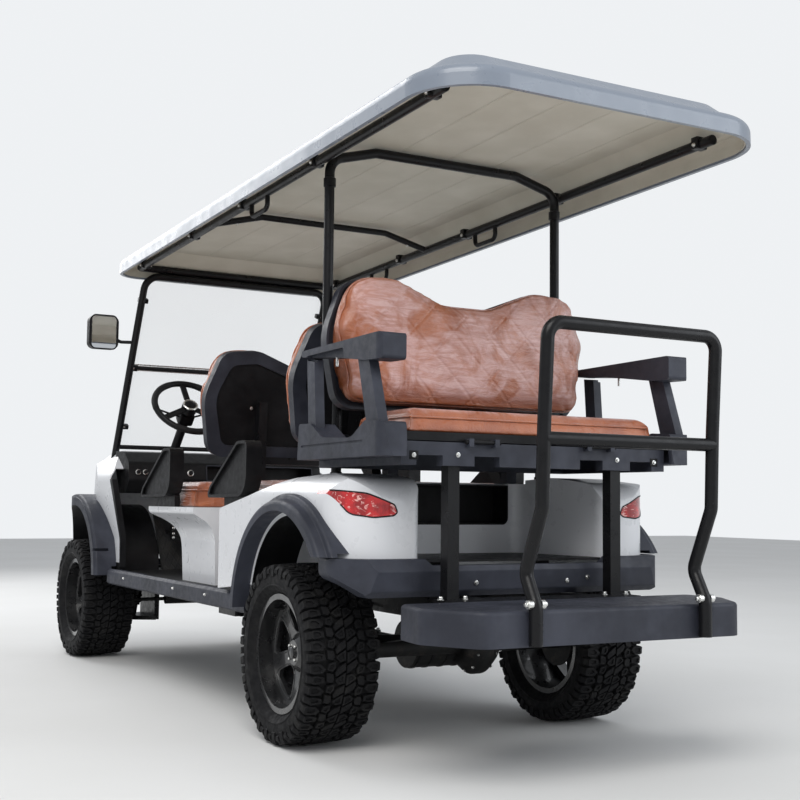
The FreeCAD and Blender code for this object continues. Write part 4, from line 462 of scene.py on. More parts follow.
def block(mesh, centre, size, matrix=Matrix(), edge=0.0015):
    """A block with rounded edges. Metres; the matrix turns it about its centre."""
    made = bmesh.ops.create_cube(mesh, size=1)["verts"]
    place = Matrix.Translation(centre) @ matrix.to_4x4() @ Matrix.Diagonal((*size, 1))
    bmesh.ops.transform(mesh, matrix=place, verts=made)
    edges = list({e for v in made for e in v.link_edges})
    bmesh.ops.bevel(mesh, geom=edges, offset=edge, segments=2, profile=0.6, affect="EDGES")


def strand(name, lines, radius, look, body="chassis", closed=False, kind="POLY", rounds=3, steps=12,
           smooth=50):
    """Round bars along lines of points."""
    curve = bpy.data.curves.new(name, "CURVE")
    curve.dimensions = "3D"
    curve.bevel_depth = radius
    curve.bevel_resolution = rounds
    curve.resolution_u = steps
    curve.use_fill_caps = True
    for line in lines:
        spline = curve.splines.new(kind)
        spline.points.add(len(line) - 1)
        for point, place in zip(spline.points, line):
            point.co = (*place, 1)
        spline.use_cyclic_u = closed
        spline.order_u = 3
        spline.use_endpoint_u = not closed
    thing = linked(name + "_line", curve)
    data = baked(thing)
    bpy.data.objects.remove(thing)
    return piece(name, data, look, body, smooth)


def chains(edges, least):
    """Joins edges end to end into lines of points, the same way each run, and drops the short ones."""
    def place(edge):
        return tuple(edge.verts[0].co + edge.verts[1].co)

    left = dict.fromkeys(sorted(edges, key=place))
    lines = []
    while left:
        edge = next(iter(left))
        del left[edge]
        line = sorted(edge.verts, key=lambda vert: tuple(vert.co))
        for _ in range(2):
            while steps := [e for e in line[-1].link_edges if e in left]:
                step = min(steps, key=place)
                del left[step]
                line.append(step.other_vert(line[-1]))
            line.reverse()
        if len(line) > least:
            lines.append([v.co.copy() for v in line])
    return lines


def repaint(node, look, test):
    """Gives the faces of a CAD node that pass a test a material of their own."""
    mesh = cad[node].data
    mesh.materials.append(looks[look].material)
    for face in mesh.polygons:
        if test((face.center - Vector((REAR_AXLE.x, 0, 0))) / MM, face.normal):
            face.material_index = len(mesh.materials) - 1


# Floor, light and camera

def studio():
    size = 40
    bpy.ops.mesh.primitive_plane_add(size=size, location=(0, 0, 0))
    ground = bpy.context.object
    ground.name = "ground"
    look = Look("ground_paint", (0.72, 0.72, 0.71), 0.85)
    look.color(look.mix(look.ramp(look.noise(0.8, 4), 0.3, 0.8), (0.70, 0.70, 0.69), (0.74, 0.74, 0.735)))
    look.bump(look.noise(40, 4), 0.0004)
    ground.data.materials.append(look.material)

    world = bpy.data.worlds.new("studio")
    bpy.context.scene.world = world
    world.use_nodes = True
    nodes = world.node_tree.nodes
    links = world.node_tree.links
    lit = nodes["Background"]
    lit.inputs["Color"].default_value = (0.93, 0.96, 1.0, 1)
    lit.inputs["Strength"].default_value = 0.58
    shown = nodes.new("ShaderNodeBackground")
    shown.inputs["Color"].default_value = (0.86, 0.88, 0.90, 1)
    rays = nodes.new("ShaderNodeLightPath")
    mixer = nodes.new("ShaderNodeMixShader")
    links.new(rays.outputs["Is Camera Ray"], mixer.inputs[0])
    links.new(lit.outputs[0], mixer.inputs[1])
    links.new(shown.outputs[0], mixer.inputs[2])
    links.new(mixer.outputs[0], nodes["World Output"].inputs["Surface"])

    target = Vector((-0.2, 0, 0.9))
    for name, place, size, power, color in (
            ("key", (-5.0, 4.0, 6.5), 5.0, 390, (1.0, 0.985, 0.96)),
            ("fill", (-6.0, -5.0, 3.5), 5.0, 180, (0.92, 0.96, 1.0)),
            ("front", (6.5, 1.5, 5.0), 5.0, 260, (1.0, 1.0, 1.0))):
        data = bpy.data.lights.new(name, "AREA")
        data.energy = power
        data.size = size
        data.color = color
        lamp = linked(name, data)
        lamp.matrix_world = facing_frame(Vector(place) - target, Vector(place))


def camera():
    """The view of the photograph, fitted to the wheels, step, seats and roof."""
    eye = at(-3722, 2262, 775)
    yaw = -0.509
    pitch = 0.082
    roll = 0.011
    focal = 1246.7
    width = 800
    sensor = 36
    ahead = Vector((math.cos(pitch) * math.cos(yaw), math.cos(pitch) * math.sin(yaw), math.sin(pitch)))
    right = Vector((math.sin(yaw), -math.cos(yaw), 0))
    up = right.cross(ahead)
    side = right * math.cos(roll) + up * math.sin(roll)
    top = up * math.cos(roll) - right * math.sin(roll)
    data = bpy.data.cameras.new("view")
    data.sensor_width = sensor
    data.lens = focal * sensor / width
    data.clip_end = 100
    thing = linked("view", data)
    turn = Matrix((side, top, -ahead)).transposed().to_4x4()
    thing.matrix_world = Matrix.Translation(eye) @ turn
    bpy.context.scene.camera = thing


# Wheels

def tyre_surface(across):
    """Radius of the tread face at a distance across from the middle."""
    crown = 0.006
    return TYRE_RADIUS - crown * (across / TYRE_HALF) ** 2


def tread_block(mesh, corners, pocket):
    """A raised block on the tyre, narrower at its top. Its corners are (angle, across)."""
    chamfer = 0.04
    middle = (sum(c[0] for c in corners) / len(corners), sum(c[1] for c in corners) / len(corners))
    levels = [(-0.017, 0.0), (-0.0022, chamfer * 0.4), (0.0, chamfer)]
    if pocket:
        levels += [(0.0, 0.44), (-pocket, 0.50)]
    loops = []
    for level, pull in levels:
        loop = []
        for angle, across in corners:
            turn = angle + (middle[0] - angle) * pull
            y = across + (middle[1] - across) * pull
            radius = tyre_surface(y) + level
            loop.append(mesh.verts.new((radius * math.cos(turn), y, radius * math.sin(turn))))
        loops.append(loop)
    count = len(corners)
    for low, high in zip(loops, loops[1:]):
        for i in range(count):
            j = (i + 1) % count
            mesh.faces.new((low[i], low[j], high[j], high[i]))
    mesh.faces.new(loops[-1])


def shoulder_lug(mesh, turns, y_top, side, low, out):
    """The part of a lug that runs down over the shoulder onto the sidewall."""
    ring = []
    for radius, y in ((tyre_surface(y_top) - 0.003, y_top - 0.001), (TYRE_RADIUS - 0.020, TYRE_HALF - out),
                      (low, TYRE_HALF - out + 0.0005), (low - 0.004, TYRE_HALF - 0.006)):
        ring.append([mesh.verts.new((radius * math.cos(a), y * side, radius * math.sin(a))) for a in turns])
    back = (TYRE_HALF - 0.016) * side
    inner = [mesh.verts.new((radius * math.cos(a), back, radius * math.sin(a)))
             for radius, a in ((TYRE_RADIUS - 0.016, turns[0]), (TYRE_RADIUS - 0.016, turns[1]),
                               (low - 0.004, turns[1]), (low - 0.004, turns[0]))]
    for (p, q), (r, s) in zip(ring, ring[1:]):
        mesh.faces.new((p, q, s, r))
    mesh.faces.new([r[0] for r in ring] + [inner[3], inner[0]])
    mesh.faces.new([r[1] for r in reversed(ring)] + [inner[1], inner[2]])


# The tread's blocks: their corners, in pitches round the tyre and mm across it, and the depth of the pocket
CENTRE_BLOCKS = (
    (((0.00, 2), (0.34, 2), (0.62, 34), (0.46, 38), (0.26, 30)), 0.0),
    (((0.44, 2), (0.92, 2), (0.98, 22), (0.80, 36), (0.70, 32)), 0.004),
    (((-0.06, 38), (0.20, 36), (0.38, 46), (0.30, 64), (0.02, 60)), 0.004),
    (((0.48, 44), (0.74, 40), (0.88, 48), (0.82, 64), (0.42, 66)), 0.0),
)
LONG_LUG = ((0.02, 86), (0.26, 68), (0.44, 78), (0.46, 108), (0.40, 119), (0.06, 119), (0.0, 108))
SHORT_LUG = ((0.54, 94), (0.62, 72), (0.86, 70), (0.94, 104), (0.88, 112), (0.58, 112), (0.54, 104))
PITCHES = 26


def tyre_mesh():
    """A chunky all-terrain tyre about the Y axis: carcass, sidewall ribs, centre blocks and shoulder lugs."""
    mesh = bmesh.new()
    sides = 96
    groove = TYRE_RADIUS - 0.016
    half = TYRE_HALF
    profile = [(0.181, half - 0.037), (0.186, half - 0.031), (0.196, half - 0.026), (0.206, half - 0.012),
               (0.214, half - 0.006), (0.216, half - 0.0025), (0.219, half - 0.0025), (0.221, half - 0.0045),
               (0.236, half - 0.003), (0.246, half - 0.004), (0.256, half - 0.008), (0.264, half - 0.014),
               (groove, half - 0.024)]
    outline = profile + [(groove + 0.001, 0)] + [(r, -y) for r, y in reversed(profile)]
    outline += [(0.176, -(half - 0.04)), (0.176, half - 0.04)]
    loops = []
    for i in range(sides):
        turn = 2 * math.pi * i / sides
        loops.append([mesh.verts.new((r * math.cos(turn), y, r * math.sin(turn))) for r, y in outline])
    count = len(outline)
    for i, loop in enumerate(loops):
        after = loops[(i + 1) % sides]
        for j in range(count):
            k = (j + 1) % count
            mesh.faces.new((loop[j], loop[k], after[k], after[j]))
    pitch = 2 * math.pi / PITCHES
    for i in range(PITCHES):
        for side in (1, -1):
            shift = i * pitch + (0 if side > 0 else pitch / 2)
            for corners, pocket in CENTRE_BLOCKS + ((LONG_LUG, 0.005), (SHORT_LUG, 0.005)):
                tread_block(mesh, [(shift + a * pitch * side, y * side * MM) for a, y in corners], pocket)
            for lug, low, out in ((LONG_LUG, 0.246, 0.0015), (SHORT_LUG, 0.257, 0.001)):
                turns = [shift + (lug[0][0] + 0.03) * pitch * side, shift + (lug[3][0] - 0.05) * pitch * side]
                shoulder_lug(mesh, turns, lug[4][1] * MM, side, low, out)
    return mesh


# The edge of the rim's window as (across, out from the hub), and turned forms as (height, radius)
WINDOW_EDGE = ((-0.027, 0.064), (0.027, 0.064), (0.074, 0.141), (0.040, 0.153), (0.0, 0.158), (-0.040, 0.153),
               (-0.074, 0.141))
HUB_CAP = ((0, 0.019), (0.007, 0.019), (0.010, 0.015), (0.011, 0.004))
VALVE = ((-0.002, 0.006), (0.006, 0.006), (0.008, 0.004), (0.024, 0.004), (0.030, 0.0025))


def wheel_point(hub, sign, radius, turn, out):
    """A point on a wheel: out is counted from its middle plane to the outside."""
    return Vector((hub.x + radius * math.cos(turn), hub.y + sign * out, hub.z + radius * math.sin(turn)))


def wheels():
    mesh = tyre_mesh()
    data = bpy.data.meshes.new("tyre")
    bmesh.ops.recalc_face_normals(mesh, faces=mesh.faces)
    mesh.to_mesh(data)
    mesh.free()
    for axle in ("front", "rear"):
        for side, sign in (("left", 1), ("right", -1)):
            body = f"wheel_{axle}_{side}"
            rim = f"rim_{axle}_{side}"
            outward = (0, sign, 0)
            inward = (0, -sign, 0)
            hub = sum(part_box(f"tyre_{axle}_{side}"), Vector()) / 2
            own = data.copy()
            own.transform(Matrix.Translation(hub))
            tyre = piece(f"tread_{axle}_{side}", own, "tyre", body, 28)
            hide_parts(f"tyre_{axle}_{side}")

            nuts = bmesh.new()
            for i in range(4):
                start = wheel_point(hub, sign, 0.030, 2 * math.pi * (i + 0.5) / 4, 0.2)
                bolt(nuts, on(rim, start, inward)[0], outward, 0.0075, False)
            piece(f"wheel_nuts_{axle}_{side}", nuts, "zinc", body, 35)
            cap = bmesh.new()
            seat = on(rim, wheel_point(hub, sign, 0.0, 0.0, 0.2), inward)[0]
            disc_stack(cap, HUB_CAP, facing_frame(outward, seat), 28)
            piece(f"hub_cap_{axle}_{side}", cap, "rim_black", body, 35)

            lines = []
            for i in range(5):
                turn = math.pi / 2 + 2 * math.pi * i / 5
                line = []
                for across, out in WINDOW_EDGE:
                    x = hub.x + out * math.cos(turn) - across * math.sin(turn)
                    z = hub.z + out * math.sin(turn) + across * math.cos(turn)
                    line.append(on(rim, Vector((x, hub.y + sign * 0.2, z)), inward)[0])
                lines.append(line)
            strand(f"spoke_edges_{axle}_{side}", lines, 0.0022, "rim_black", body, True, "NURBS")

            valve = bmesh.new()
            foot = on(rim, wheel_point(hub, sign, 0.166, math.radians(54), 0.2), inward)[0]
            disc_stack(valve, VALVE, facing_frame(outward, foot), 14)
            piece(f"valve_{axle}_{side}", valve, "soft_grip", body, 35)


# Seats

# A pad's grid, how far its cloth starts inside it and may move out, and the seam round it. Metres.
PAD_GRID = 0.015
PAD_TUCK = 0.007
PAD_RISE = 0.016
SEAM_WIDTH = 0.016
SEAM_DEPTH = 0.004
CLOTH_FRAMES = 20


def pin_group(thing, normal, limit):
    """Holds the points of the side that a pad rests on."""
    group = thing.vertex_groups.new(name="held")
    held = [v.index for v in thing.data.vertices if v.normal.dot(normal) > limit]
    group.add(held, 1.0, "REPLACE")
    return set(held)


def plumped(node, name, rest_normal):
    """A CAD pad remeshed and blown up as cloth, held on the side that it rests on."""
    rest_normal = Vector(rest_normal).normalized()
    start = linked(name + "_start", cad[node].data.copy())
    remesh = start.modifiers.new("even", "REMESH")
    remesh.mode = "VOXEL"
    remesh.voxel_size = PAD_GRID
    data = baked(start)
    bpy.data.objects.remove(start)
    thing = linked(name, data)
    held = pin_group(thing, rest_normal, 0.9)
    inset = [v.co - v.normal * (0 if v.index in held else PAD_TUCK) for v in data.vertices]
    for vert, place in zip(data.vertices, inset):
        vert.co = place
    begun = [v.co.copy() for v in data.vertices]
    cloth = thing.modifiers.new("cloth", "CLOTH")
    settings = cloth.settings
    settings.vertex_group_mass = "held"
    settings.use_pressure = True
    settings.uniform_pressure_force = 4.0
    settings.effector_weights.gravity = 0
    settings.quality = 5
    settings.tension_stiffness = 12
    settings.bending_stiffness = 0.6
    cloth.point_cache.frame_start = 1
    cloth.point_cache.frame_end = CLOTH_FRAMES
    for step in range(1, CLOTH_FRAMES + 1):
        bpy.context.scene.frame_set(step)
    data = baked(thing)
    bpy.data.objects.remove(thing)
    bpy.context.scene.frame_set(1)
    for vert, place in zip(data.vertices, begun):
        move = vert.co - place
        if move.length > PAD_RISE:
            vert.co = place + move.normalized() * PAD_RISE
    thing = linked(name, data)
    return thing


def swelled(data, rest, reach, held=None):
    """Swells a pad's sides out over the lip of its shell, but not between the heights of the armrests."""
    depths = [v.co.dot(rest) for v in data.vertices]
    foot = max(depths)
    for vert, depth in zip(data.vertices, depths):
        rise = min(1, max(0, (foot - depth - 0.018) / 0.022))
        if held:
            rise *= min(1, max(0, (held[0] - vert.co.z) / 0.05, (vert.co.z - held[1]) / 0.05))
        vert.co += (vert.normal - rest * vert.normal.dot(rest)) * reach * rise * rise * (3 - 2 * rise)


def slice_loop(data, place, normal):
    """The closed lines where a plane cuts a mesh, as lists of points."""
    mesh = bmesh.new()
    mesh.from_mesh(data)
    cut = bmesh.ops.bisect_plane(mesh, geom=mesh.verts[:] + mesh.edges[:] + mesh.faces[:], dist=1e-6,
                                 plane_co=place, plane_no=normal)["geom_cut"]
    lines = chains([e for e in cut if isinstance(e, bmesh.types.BMEdge)], 12)
    mesh.free()
    return lines


# Pads: name, CAD node, body, the side that rests, the seam's place as a share of the depth, how far the sides
# swell, the heights between which they don't, and the look
PADS = (
    ("front_seat", "front_cushion", "chassis", DOWN, 0.66, 0, None, "vinyl_cushion"),
    ("middle_seat", "middle_cushion", "chassis", DOWN, 0.66, 0, None, "vinyl_cushion"),
    ("rear_seat", "rear_cushion", "flip_seat", DOWN, 0.6, 0, None, "vinyl_cushion"),
    ("front_back", "front_back_pad", "chassis", (-1, 0, -0.176), 0.62, 0.016, None, "vinyl_front_back"),
    ("middle_back", "middle_back_pad", "chassis", (-1, 0, -0.176), 0.62, 0.016, None, "vinyl_front_back"),
    ("rear_back", "rear_back_pad", "chassis", (1, 0, -0.052), 0.62, 0.016, (1.17, 1.29), "vinyl_rear_back"),
)


def seats():
    for name, node, body, rest, share, swell, held, look in PADS:
        cover = plumped(node, name + "_cover", rest)
        normal = -Vector(rest).normalized()
        swelled(cover.data, -normal, swell, held)
        spans = [v.co.dot(normal) for v in cover.data.vertices]
        level = min(spans) + (max(spans) - min(spans)) * share
        lines = slice_loop(cover.data, normal * level, normal)
        for vert in cover.data.vertices:
            near = abs(vert.co.dot(normal) - level) / SEAM_WIDTH
            if near < 1:
                vert.co -= (vert.normal - normal * vert.normal.dot(normal)) * SEAM_DEPTH * (1 - near) ** 2
        smooth = cover.modifiers.new("finer", "SUBSURF")
        smooth.levels = 1
        smooth.render_levels = 1
        data = baked(cover)
        bpy.data.objects.remove(cover)
        pad = piece(name + "_cover", data, look, body, 0)
        data.shade_smooth()
        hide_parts(node)
        beads = [line[:-1:2] for line in lines]
        strand(name + "_piping", beads, 0.0032, look, body, True, "NURBS", 2, 4, 60)


# Fastenings

# Hexagon heads on both sides: name, CAD node, size, the ray's way and the places it starts from on the left
FASTENERS = (
    ("deck_bolts", "rear_deck", 0.008, FORWARD, ((-620, 300, 918), (-620, 452, 914))),
    ("bumper_bolts", "rear_bumper", 0.008, FORWARD, ((-600, 172, 532), (-600, 252, 542))),
    ("step_post_bolts", "chassis_frame", 0.011, DOWN, ((-548, 262, 520), (-548, 347, 520))),
    ("sill_bolts", "side_sills", 0.007, INWARD, ((1155, 700, 420), (788, 700, 420), (1830, 700, 420))),
    ("flange_bolts", "roof_posts", 0.007, DOWN, ((-7, 415, 870), (34, 439, 870), (34, 391, 870))),
    ("shell_bolts", "seat_back_shells", 0.007, FORWARD, ((900, 300, 1155), (60, 300, 1167))),
    ("bar_bolts", "seat_frames", 0.008, FORWARD, ((900, 285, 940), (60, 285, 952))),
    ("front_bumper_bolts", "front_bumper", 0.010, BACKWARD, ((3100, 205, 402), (3100, 300, 402))),
    ("arm_pivots", "front_suspension", 0.010, INWARD, ((2440, 500, 400), (2660, 500, 400))),
    ("bow_bolts", "roof_rails", 0.006, (0, 1, 0), ((1000, 300, 1905),)),
)


def fastenings():
    for name, node, size, way, starts in FASTENERS:
        mesh = bmesh.new()
        for x, y, z in starts:
            for sign in (1, -1):
                place, normal = on(node, at(x, y * sign, z), (way[0], way[1] * sign, way[2]))
                bolt(mesh, place, normal, size)
        piece(name, mesh, "zinc", smooth=35)


def deck_plates():
    """Black plates behind the outer bolts of the deck."""
    mesh = bmesh.new()
    for side in (1, -1):
        place = on("rear_deck", at(-620, 452 * side, 914), FORWARD)[0]
        block(mesh, place, (0.003, 0.030, 0.026), edge=0.001)
    piece("deck_plates", mesh, "black_plastic")


def through_bolts():
    """Bolts across the roof rails, with a black saddle round the rail at each."""
    heads = bmesh.new()
    saddles = bmesh.new()
    for along in (240, 1010, 1650, 2210, 2870):
        for side in (1, -1):
            centre = under_roof(along, RAIL_OUT * side, RAIL_UP)
            block(saddles, centre + Vector((0, 0, 0.004)), (0.030, 0.044, 0.040), edge=0.004)
            for way in (1, -1):
                bolt(heads, centre + Vector((0, 0.022 * way, -0.003)), (0, way, 0), 0.0075)
    piece("rail_bolts", heads, "zinc", smooth=35)
    piece("rail_saddles", saddles, "black_steel")


# Roof, posts and windscreen

def roof_fittings():
    plugs = bmesh.new()
    for side in (1, -1):
        way = under_roof(0, 0, 0) - under_roof(1000, 0, 0)
        disc_stack(plugs, ((-0.001, 0.0165), (0.004, 0.0165), (0.0055, 0.013)),
                   facing_frame(way, under_roof(180, RAIL_OUT * side, RAIL_UP)), 24)
    piece("rail_plugs", plugs, "black_plastic", smooth=35)

    collars = bmesh.new()
    for side in (1, -1):
        disc_stack(collars, ((-0.016, 0.0175), (-0.014, 0.021), (0.014, 0.021), (0.016, 0.0175)),
                   facing_frame(UP, at(0, 465 * side, 1846)), 24)
        disc_stack(collars, ((-0.012, 0.0175), (-0.010, 0.0205), (0.010, 0.0205), (0.012, 0.0175)),
                   facing_frame(UP, at(20, 415 * side, 862)), 24)
    piece("post_collars", collars, "black_steel", smooth=35)


def screen_fittings():
    """The strip where the screen folds, and a clamp with a bolt at three heights of each side."""
    turn = Matrix.Rotation(-SCREEN_RAKE, 3, "Y")
    wide = 0.93
    strip = bmesh.new()
    for step in (14, -14):
        block(strip, on_screen(15, 0, SCREEN_FOLD + step), (0.004, wide, 0.006), turn, 0.001)
    block(strip, on_screen(14, 0, SCREEN_FOLD), (0.003, wide, 0.018), turn, 0.001)
    piece("fold_strip", strip, "zinc")
    clamps = bmesh.new()
    heads = bmesh.new()
    back = on_screen(-1, 0, 0) - on_screen(0, 0, 0)
    for y in (CLAMP_OUT, -CLAMP_OUT):
        for height, tall in ((SCREEN_FOLD, 0.030), (120, 0.022), (SCREEN_TALL * 0.86, 0.022)):
            block(clamps, on_screen(8, y, height), (0.030, 0.046, tall), turn, 0.004)
            bolt(heads, on_screen(-7, y, height), back, 0.0065)
    piece("screen_clamps", clamps, "black_plastic")
    piece("screen_bolts", heads, "zinc", smooth=35)


def mirror_fittings():
    glass = bmesh.new()
    rims = []
    round_by = 22
    for side in (1, -1):
        low, high = sorted((565 * side, 688 * side))
        left = high - round_by
        right = low + round_by
        corners = []
        for cy, cz, first in ((left, 1626, 0), (right, 1626, 90), (right, 1510, 180), (left, 1510, 270)):
            for step in range(0, 91, 15):
                turn = math.radians(first + step)
                corners.append((cy + round_by * math.cos(turn), cz + round_by * math.sin(turn)))
        face = on("mirrors", at(1900, (low + high) / 2, 1568), FORWARD)[0].x
        loop = [glass.verts.new((face - 0.0012, y * MM, z * MM)) for y, z in corners]
        glass.faces.new(loop)
        rims.append([Vector((face - 0.001, y * MM, z * MM)) for y, z in corners])
    piece("mirror_glass", glass, "mirror_glass", smooth=0)
    strand("mirror_rims", rims, 0.0035, "black_plastic", closed=True)
    joints = bmesh.new()
    for side in (1, -1):
        bmesh.ops.create_uvsphere(joints, u_segments=20, v_segments=12, radius=0.012,
                                  matrix=Matrix.Translation(at(2118, 586 * side, 1560)))
    piece("mirror_joints", joints, "black_plastic", smooth=60)


# Driver's place

def driver_fittings():
    hub = facing_frame(by_column(0, 0, 1) - by_column(0, 0, 0), by_column(0, 0, 0))
    ring = bmesh.new()
    disc_stack(ring, ((0.0125, 0.036), (0.017, 0.036), (0.019, 0.033), (0.019, 0.028), (0.0165, 0.027)),
               hub, 40)
    piece("wheel_ring", ring, "zinc", "steering_wheel", 30)
    cap = bmesh.new()
    disc_stack(cap, ((0.0165, 0.0265), (0.019, 0.024), (0.0205, 0.014), (0.021, 0.004)), hub, 40)
    piece("horn_cap", cap, "black_plastic", "steering_wheel", 60)
    grips = []
    for i in range(3):
        middle = math.radians(60 + 120 * i)
        grips.append([by_column(164 * math.cos(middle + a), 164 * math.sin(middle + a), 0)
                      for a in [math.radians(3 * k) for k in range(-12, 13)]])
    strand("wheel_grips", grips, 0.0153, "soft_grip", "steering_wheel")

    pod = bmesh.new()
    turn = Matrix.Rotation(COLUMN_SLOPE, 3, "Y")
    block(pod, by_column(6, 0, -70), (0.062, 0.070, 0.060), turn, 0.010)
    piece("column_pod", pod, "black_plastic")
    stalks = [[by_column(0, 30, -62), by_column(14, 70, -60), by_column(34, 132, -52)],
              [by_column(0, -30, -62), by_column(10, -64, -60), by_column(20, -96, -54)]]
    strand("column_stalks", stalks, 0.0045, "black_steel")
    knobs = bmesh.new()
    knob = ((0, 0.006), (0.004, 0.008), (0.022, 0.009), (0.027, 0.006))
    for tip, base in ((by_column(38, 146, -50), by_column(32, 124, -53)),
                      (by_column(23, -108, -52), by_column(18, -88, -55))):
        disc_stack(knobs, knob, facing_frame(tip - base, base), 18)
    piece("stalk_knobs", knobs, "soft_grip", smooth=50)

    studs = bmesh.new()
    stud = ((-0.001, 0.0065), (0.0022, 0.0065), (0.0034, 0.0045))
    ribs = bmesh.new()
    for y, z in ((230, 620), (130, 600)):
        for row in (-28, -9, 18):
            for column in (-22, 22):
                place, normal = on("pedals", at(2060, y + column, z + row), FORWARD)
                disc_stack(studs, stud, facing_frame(normal, place))
        for row in (-34, -18.5, 4.5, 25):
            place = on("pedals", at(2060, y, z + row), FORWARD)[0]
            block(ribs, place, (0.004, 0.062, 0.005), edge=0.001)
    piece("pedal_studs", studs, "zinc", smooth=35)
    piece("pedal_ribs", ribs, "soft_grip")

    knobs = bmesh.new()
    bright = bmesh.new()
    for y, z, size in ((195, 905, 0.016), (420, 905, 0.013), (455, 905, 0.013)):
        place, normal = on("dashboard", at(1950, y, z), FORWARD)
        frame_here = facing_frame(normal, place)
        disc_stack(bright, ((-0.001, size), (0.003, size), (0.0045, size * 0.86)), frame_here, 28)
        disc_stack(knobs, ((0.004, size * 0.72), (0.014, size * 0.66), (0.016, size * 0.5)), frame_here, 28)
    for y in (395, 352):
        place, normal = on("dashboard", at(1950, y, 895), FORWARD)
        block(knobs, place, (0.010, 0.018, 0.032), edge=0.003)
    piece("dash_switches", knobs, "black_plastic")
    piece("switch_rings", bright, "zinc", smooth=35)

    lips = []
    for low, high in ((-60, 110), (-450, -130)):
        corners = [(low, 872), (high, 872), (high, 940), (low, 940)]
        line = []
        for (y0, z0), (y1, z1) in zip(corners, corners[1:] + corners[:1]):
            for step in range(8):
                y = y0 + (y1 - y0) * step / 8
                z = z0 + (z1 - z0) * step / 8
                out = 3 if z0 == z1 == 940 else -3 if z0 == z1 else 0
                side = 3 if y0 == y1 == high else -3 if y0 == y1 else 0
                line.append(on("dashboard", at(1950, y + side, z + out), FORWARD)[0])
        lips.append(line)
    strand("bin_lips", lips, 0.0035, "shell_grey", closed=True)


# Seats' frames and the rear

def armrest_fittings():
    pins = bmesh.new()
    pin = ((-0.016, 0.0045), (0.012, 0.0045), (0.013, 0.0075), (0.016, 0.0075), (0.017, 0.006))
    for side in (1, -1):
        disc_stack(pins, pin, facing_frame(UP, at(-262, 556 * side, 1210)), 18)
    piece("armrest_pins", pins, "zinc", smooth=35)


def hoop_fittings():
    """Bolts through the hoop's feet, with a spacer on each side of the tube."""
    spacers = bmesh.new()
    heads = bmesh.new()
    for side in (1, -1):
        for way in (1, -1):
            seat = at(-964, 300 * side + 18 * way, 507)
            disc_stack(spacers, ((-0.004, 0.0125), (0.009, 0.0125), (0.010, 0.0115)),
                       facing_frame((0, way, 0), seat), 24)
            bolt(heads, seat + Vector((0, 0.010 * way, 0)), (0, way, 0), 0.0095)
    piece("hoop_spacers", spacers, "zinc", smooth=35)
    piece("hoop_bolts", heads, "zinc", smooth=35)


def lamp_borders():
    """Black gaskets round the lamps, along the edge where each lens' face turns to its side."""
    for name, node, way in (("tail_lamp_gaskets", "tail_lamps", Vector(BACKWARD)),
                            ("headlamp_gaskets", "headlamps", Vector(FORWARD))):
        mesh = bmesh.new()
        mesh.from_mesh(cad[node].data)
        bmesh.ops.remove_doubles(mesh, verts=mesh.verts, dist=1e-6)
        mesh.normal_update()
        sharp = []
        for edge in mesh.edges:
            if len(edge.link_faces) == 2 and edge.calc_face_angle(0) > math.radians(42):
                if max(face.normal.dot(way) for face in edge.link_faces) > 0.12:
                    sharp.append(edge)
        lines = chains(sharp, 4)
        mesh.free()
        strand(name, lines, 0.0022, "black_plastic")


# Running gear

def spiral(foot, head, radius, turns, start, end):
    """Points of a coil about the line from foot to head, between two shares of its length."""
    along = head - foot
    side = along.orthogonal().normalized()
    other = along.cross(side).normalized()
    points = []
    count = int(turns * 18)
    for i in range(count + 1):
        angle = 2 * math.pi * turns * i / count
        share = start + (end - start) * i / count
        points.append(foot + along * share + (side * math.cos(angle) + other * math.sin(angle)) * radius)
    return points


def running_gear():
    coils = []
    for side in (1, -1):
        foot = at(WHEELBASE, 312 * side, 188)
        head = at(WHEELBASE, 254 * side, 556)
        coils.append(spiral(foot, head, 0.029, 7.5, 0.16, 0.74))
    strand("shock_springs", coils, 0.0045, "black_steel")

    nuts = bmesh.new()
    for side in (1, -1):
        for z, way in ((409, 1), (167, -1)):
            bolt(nuts, at(WHEELBASE, 430 * side, z), (0, 0, way), 0.012)
        for x in (-40, 40):
            for step in (-24, 24):
                bolt(nuts, at(x, (305 + step) * side, 354), UP, 0.008)
    piece("gear_nuts", nuts, "zinc", smooth=35)
    nuts = bmesh.new()
    for side in (1, -1):
        bolt(nuts, at(WHEELBASE - 120, 430 * side, 278), UP, 0.010)
    piece("tie_rod_nuts", nuts, "zinc", "tie_rod", 35)

    ring = bmesh.new()
    for i in range(10):
        turn = 2 * math.pi * (i + 0.5) / 10
        for y, way in ((-100, 1), (-140, -1)):
            start = at(92 * math.cos(turn), y + 90 * way, AXLE_UP + 92 * math.sin(turn))
            place = on("rear_axle", start, (0, -way, 0))[0]
            bolt(ring, place, (0, way, 0), 0.006)
    piece("axle_bolts", ring, "zinc", smooth=35)

    bands = bmesh.new()
    for y in (-78, -20, 40, 92):
        disc_stack(bands, ((-0.006, 0.080), (-0.005, 0.0845), (0.005, 0.0845), (0.006, 0.080)),
                   facing_frame((0, 1, 0), at(78, y, AXLE_UP)), 40)
    piece("motor_bands", bands, "black_steel", smooth=35)
    cables = []
    for y in (10, 30, 50):
        cables.append([at(100, y, 366), at(130, y, 400), at(210, y + 20, 425), at(330, y + 30, 432)])
    strand("motor_cables", cables, 0.006, "soft_grip", kind="NURBS")
    hoses = []
    for side in (1, -1):
        hoses.append([at(x, y * side, z) for x, y, z in
                      ((20, 440, 300), (60, 420, 350), (90, 330, 390), (110, 232, 430))])
    strand("brake_hoses", hoses, 0.004, "soft_grip", kind="NURBS")


# Body

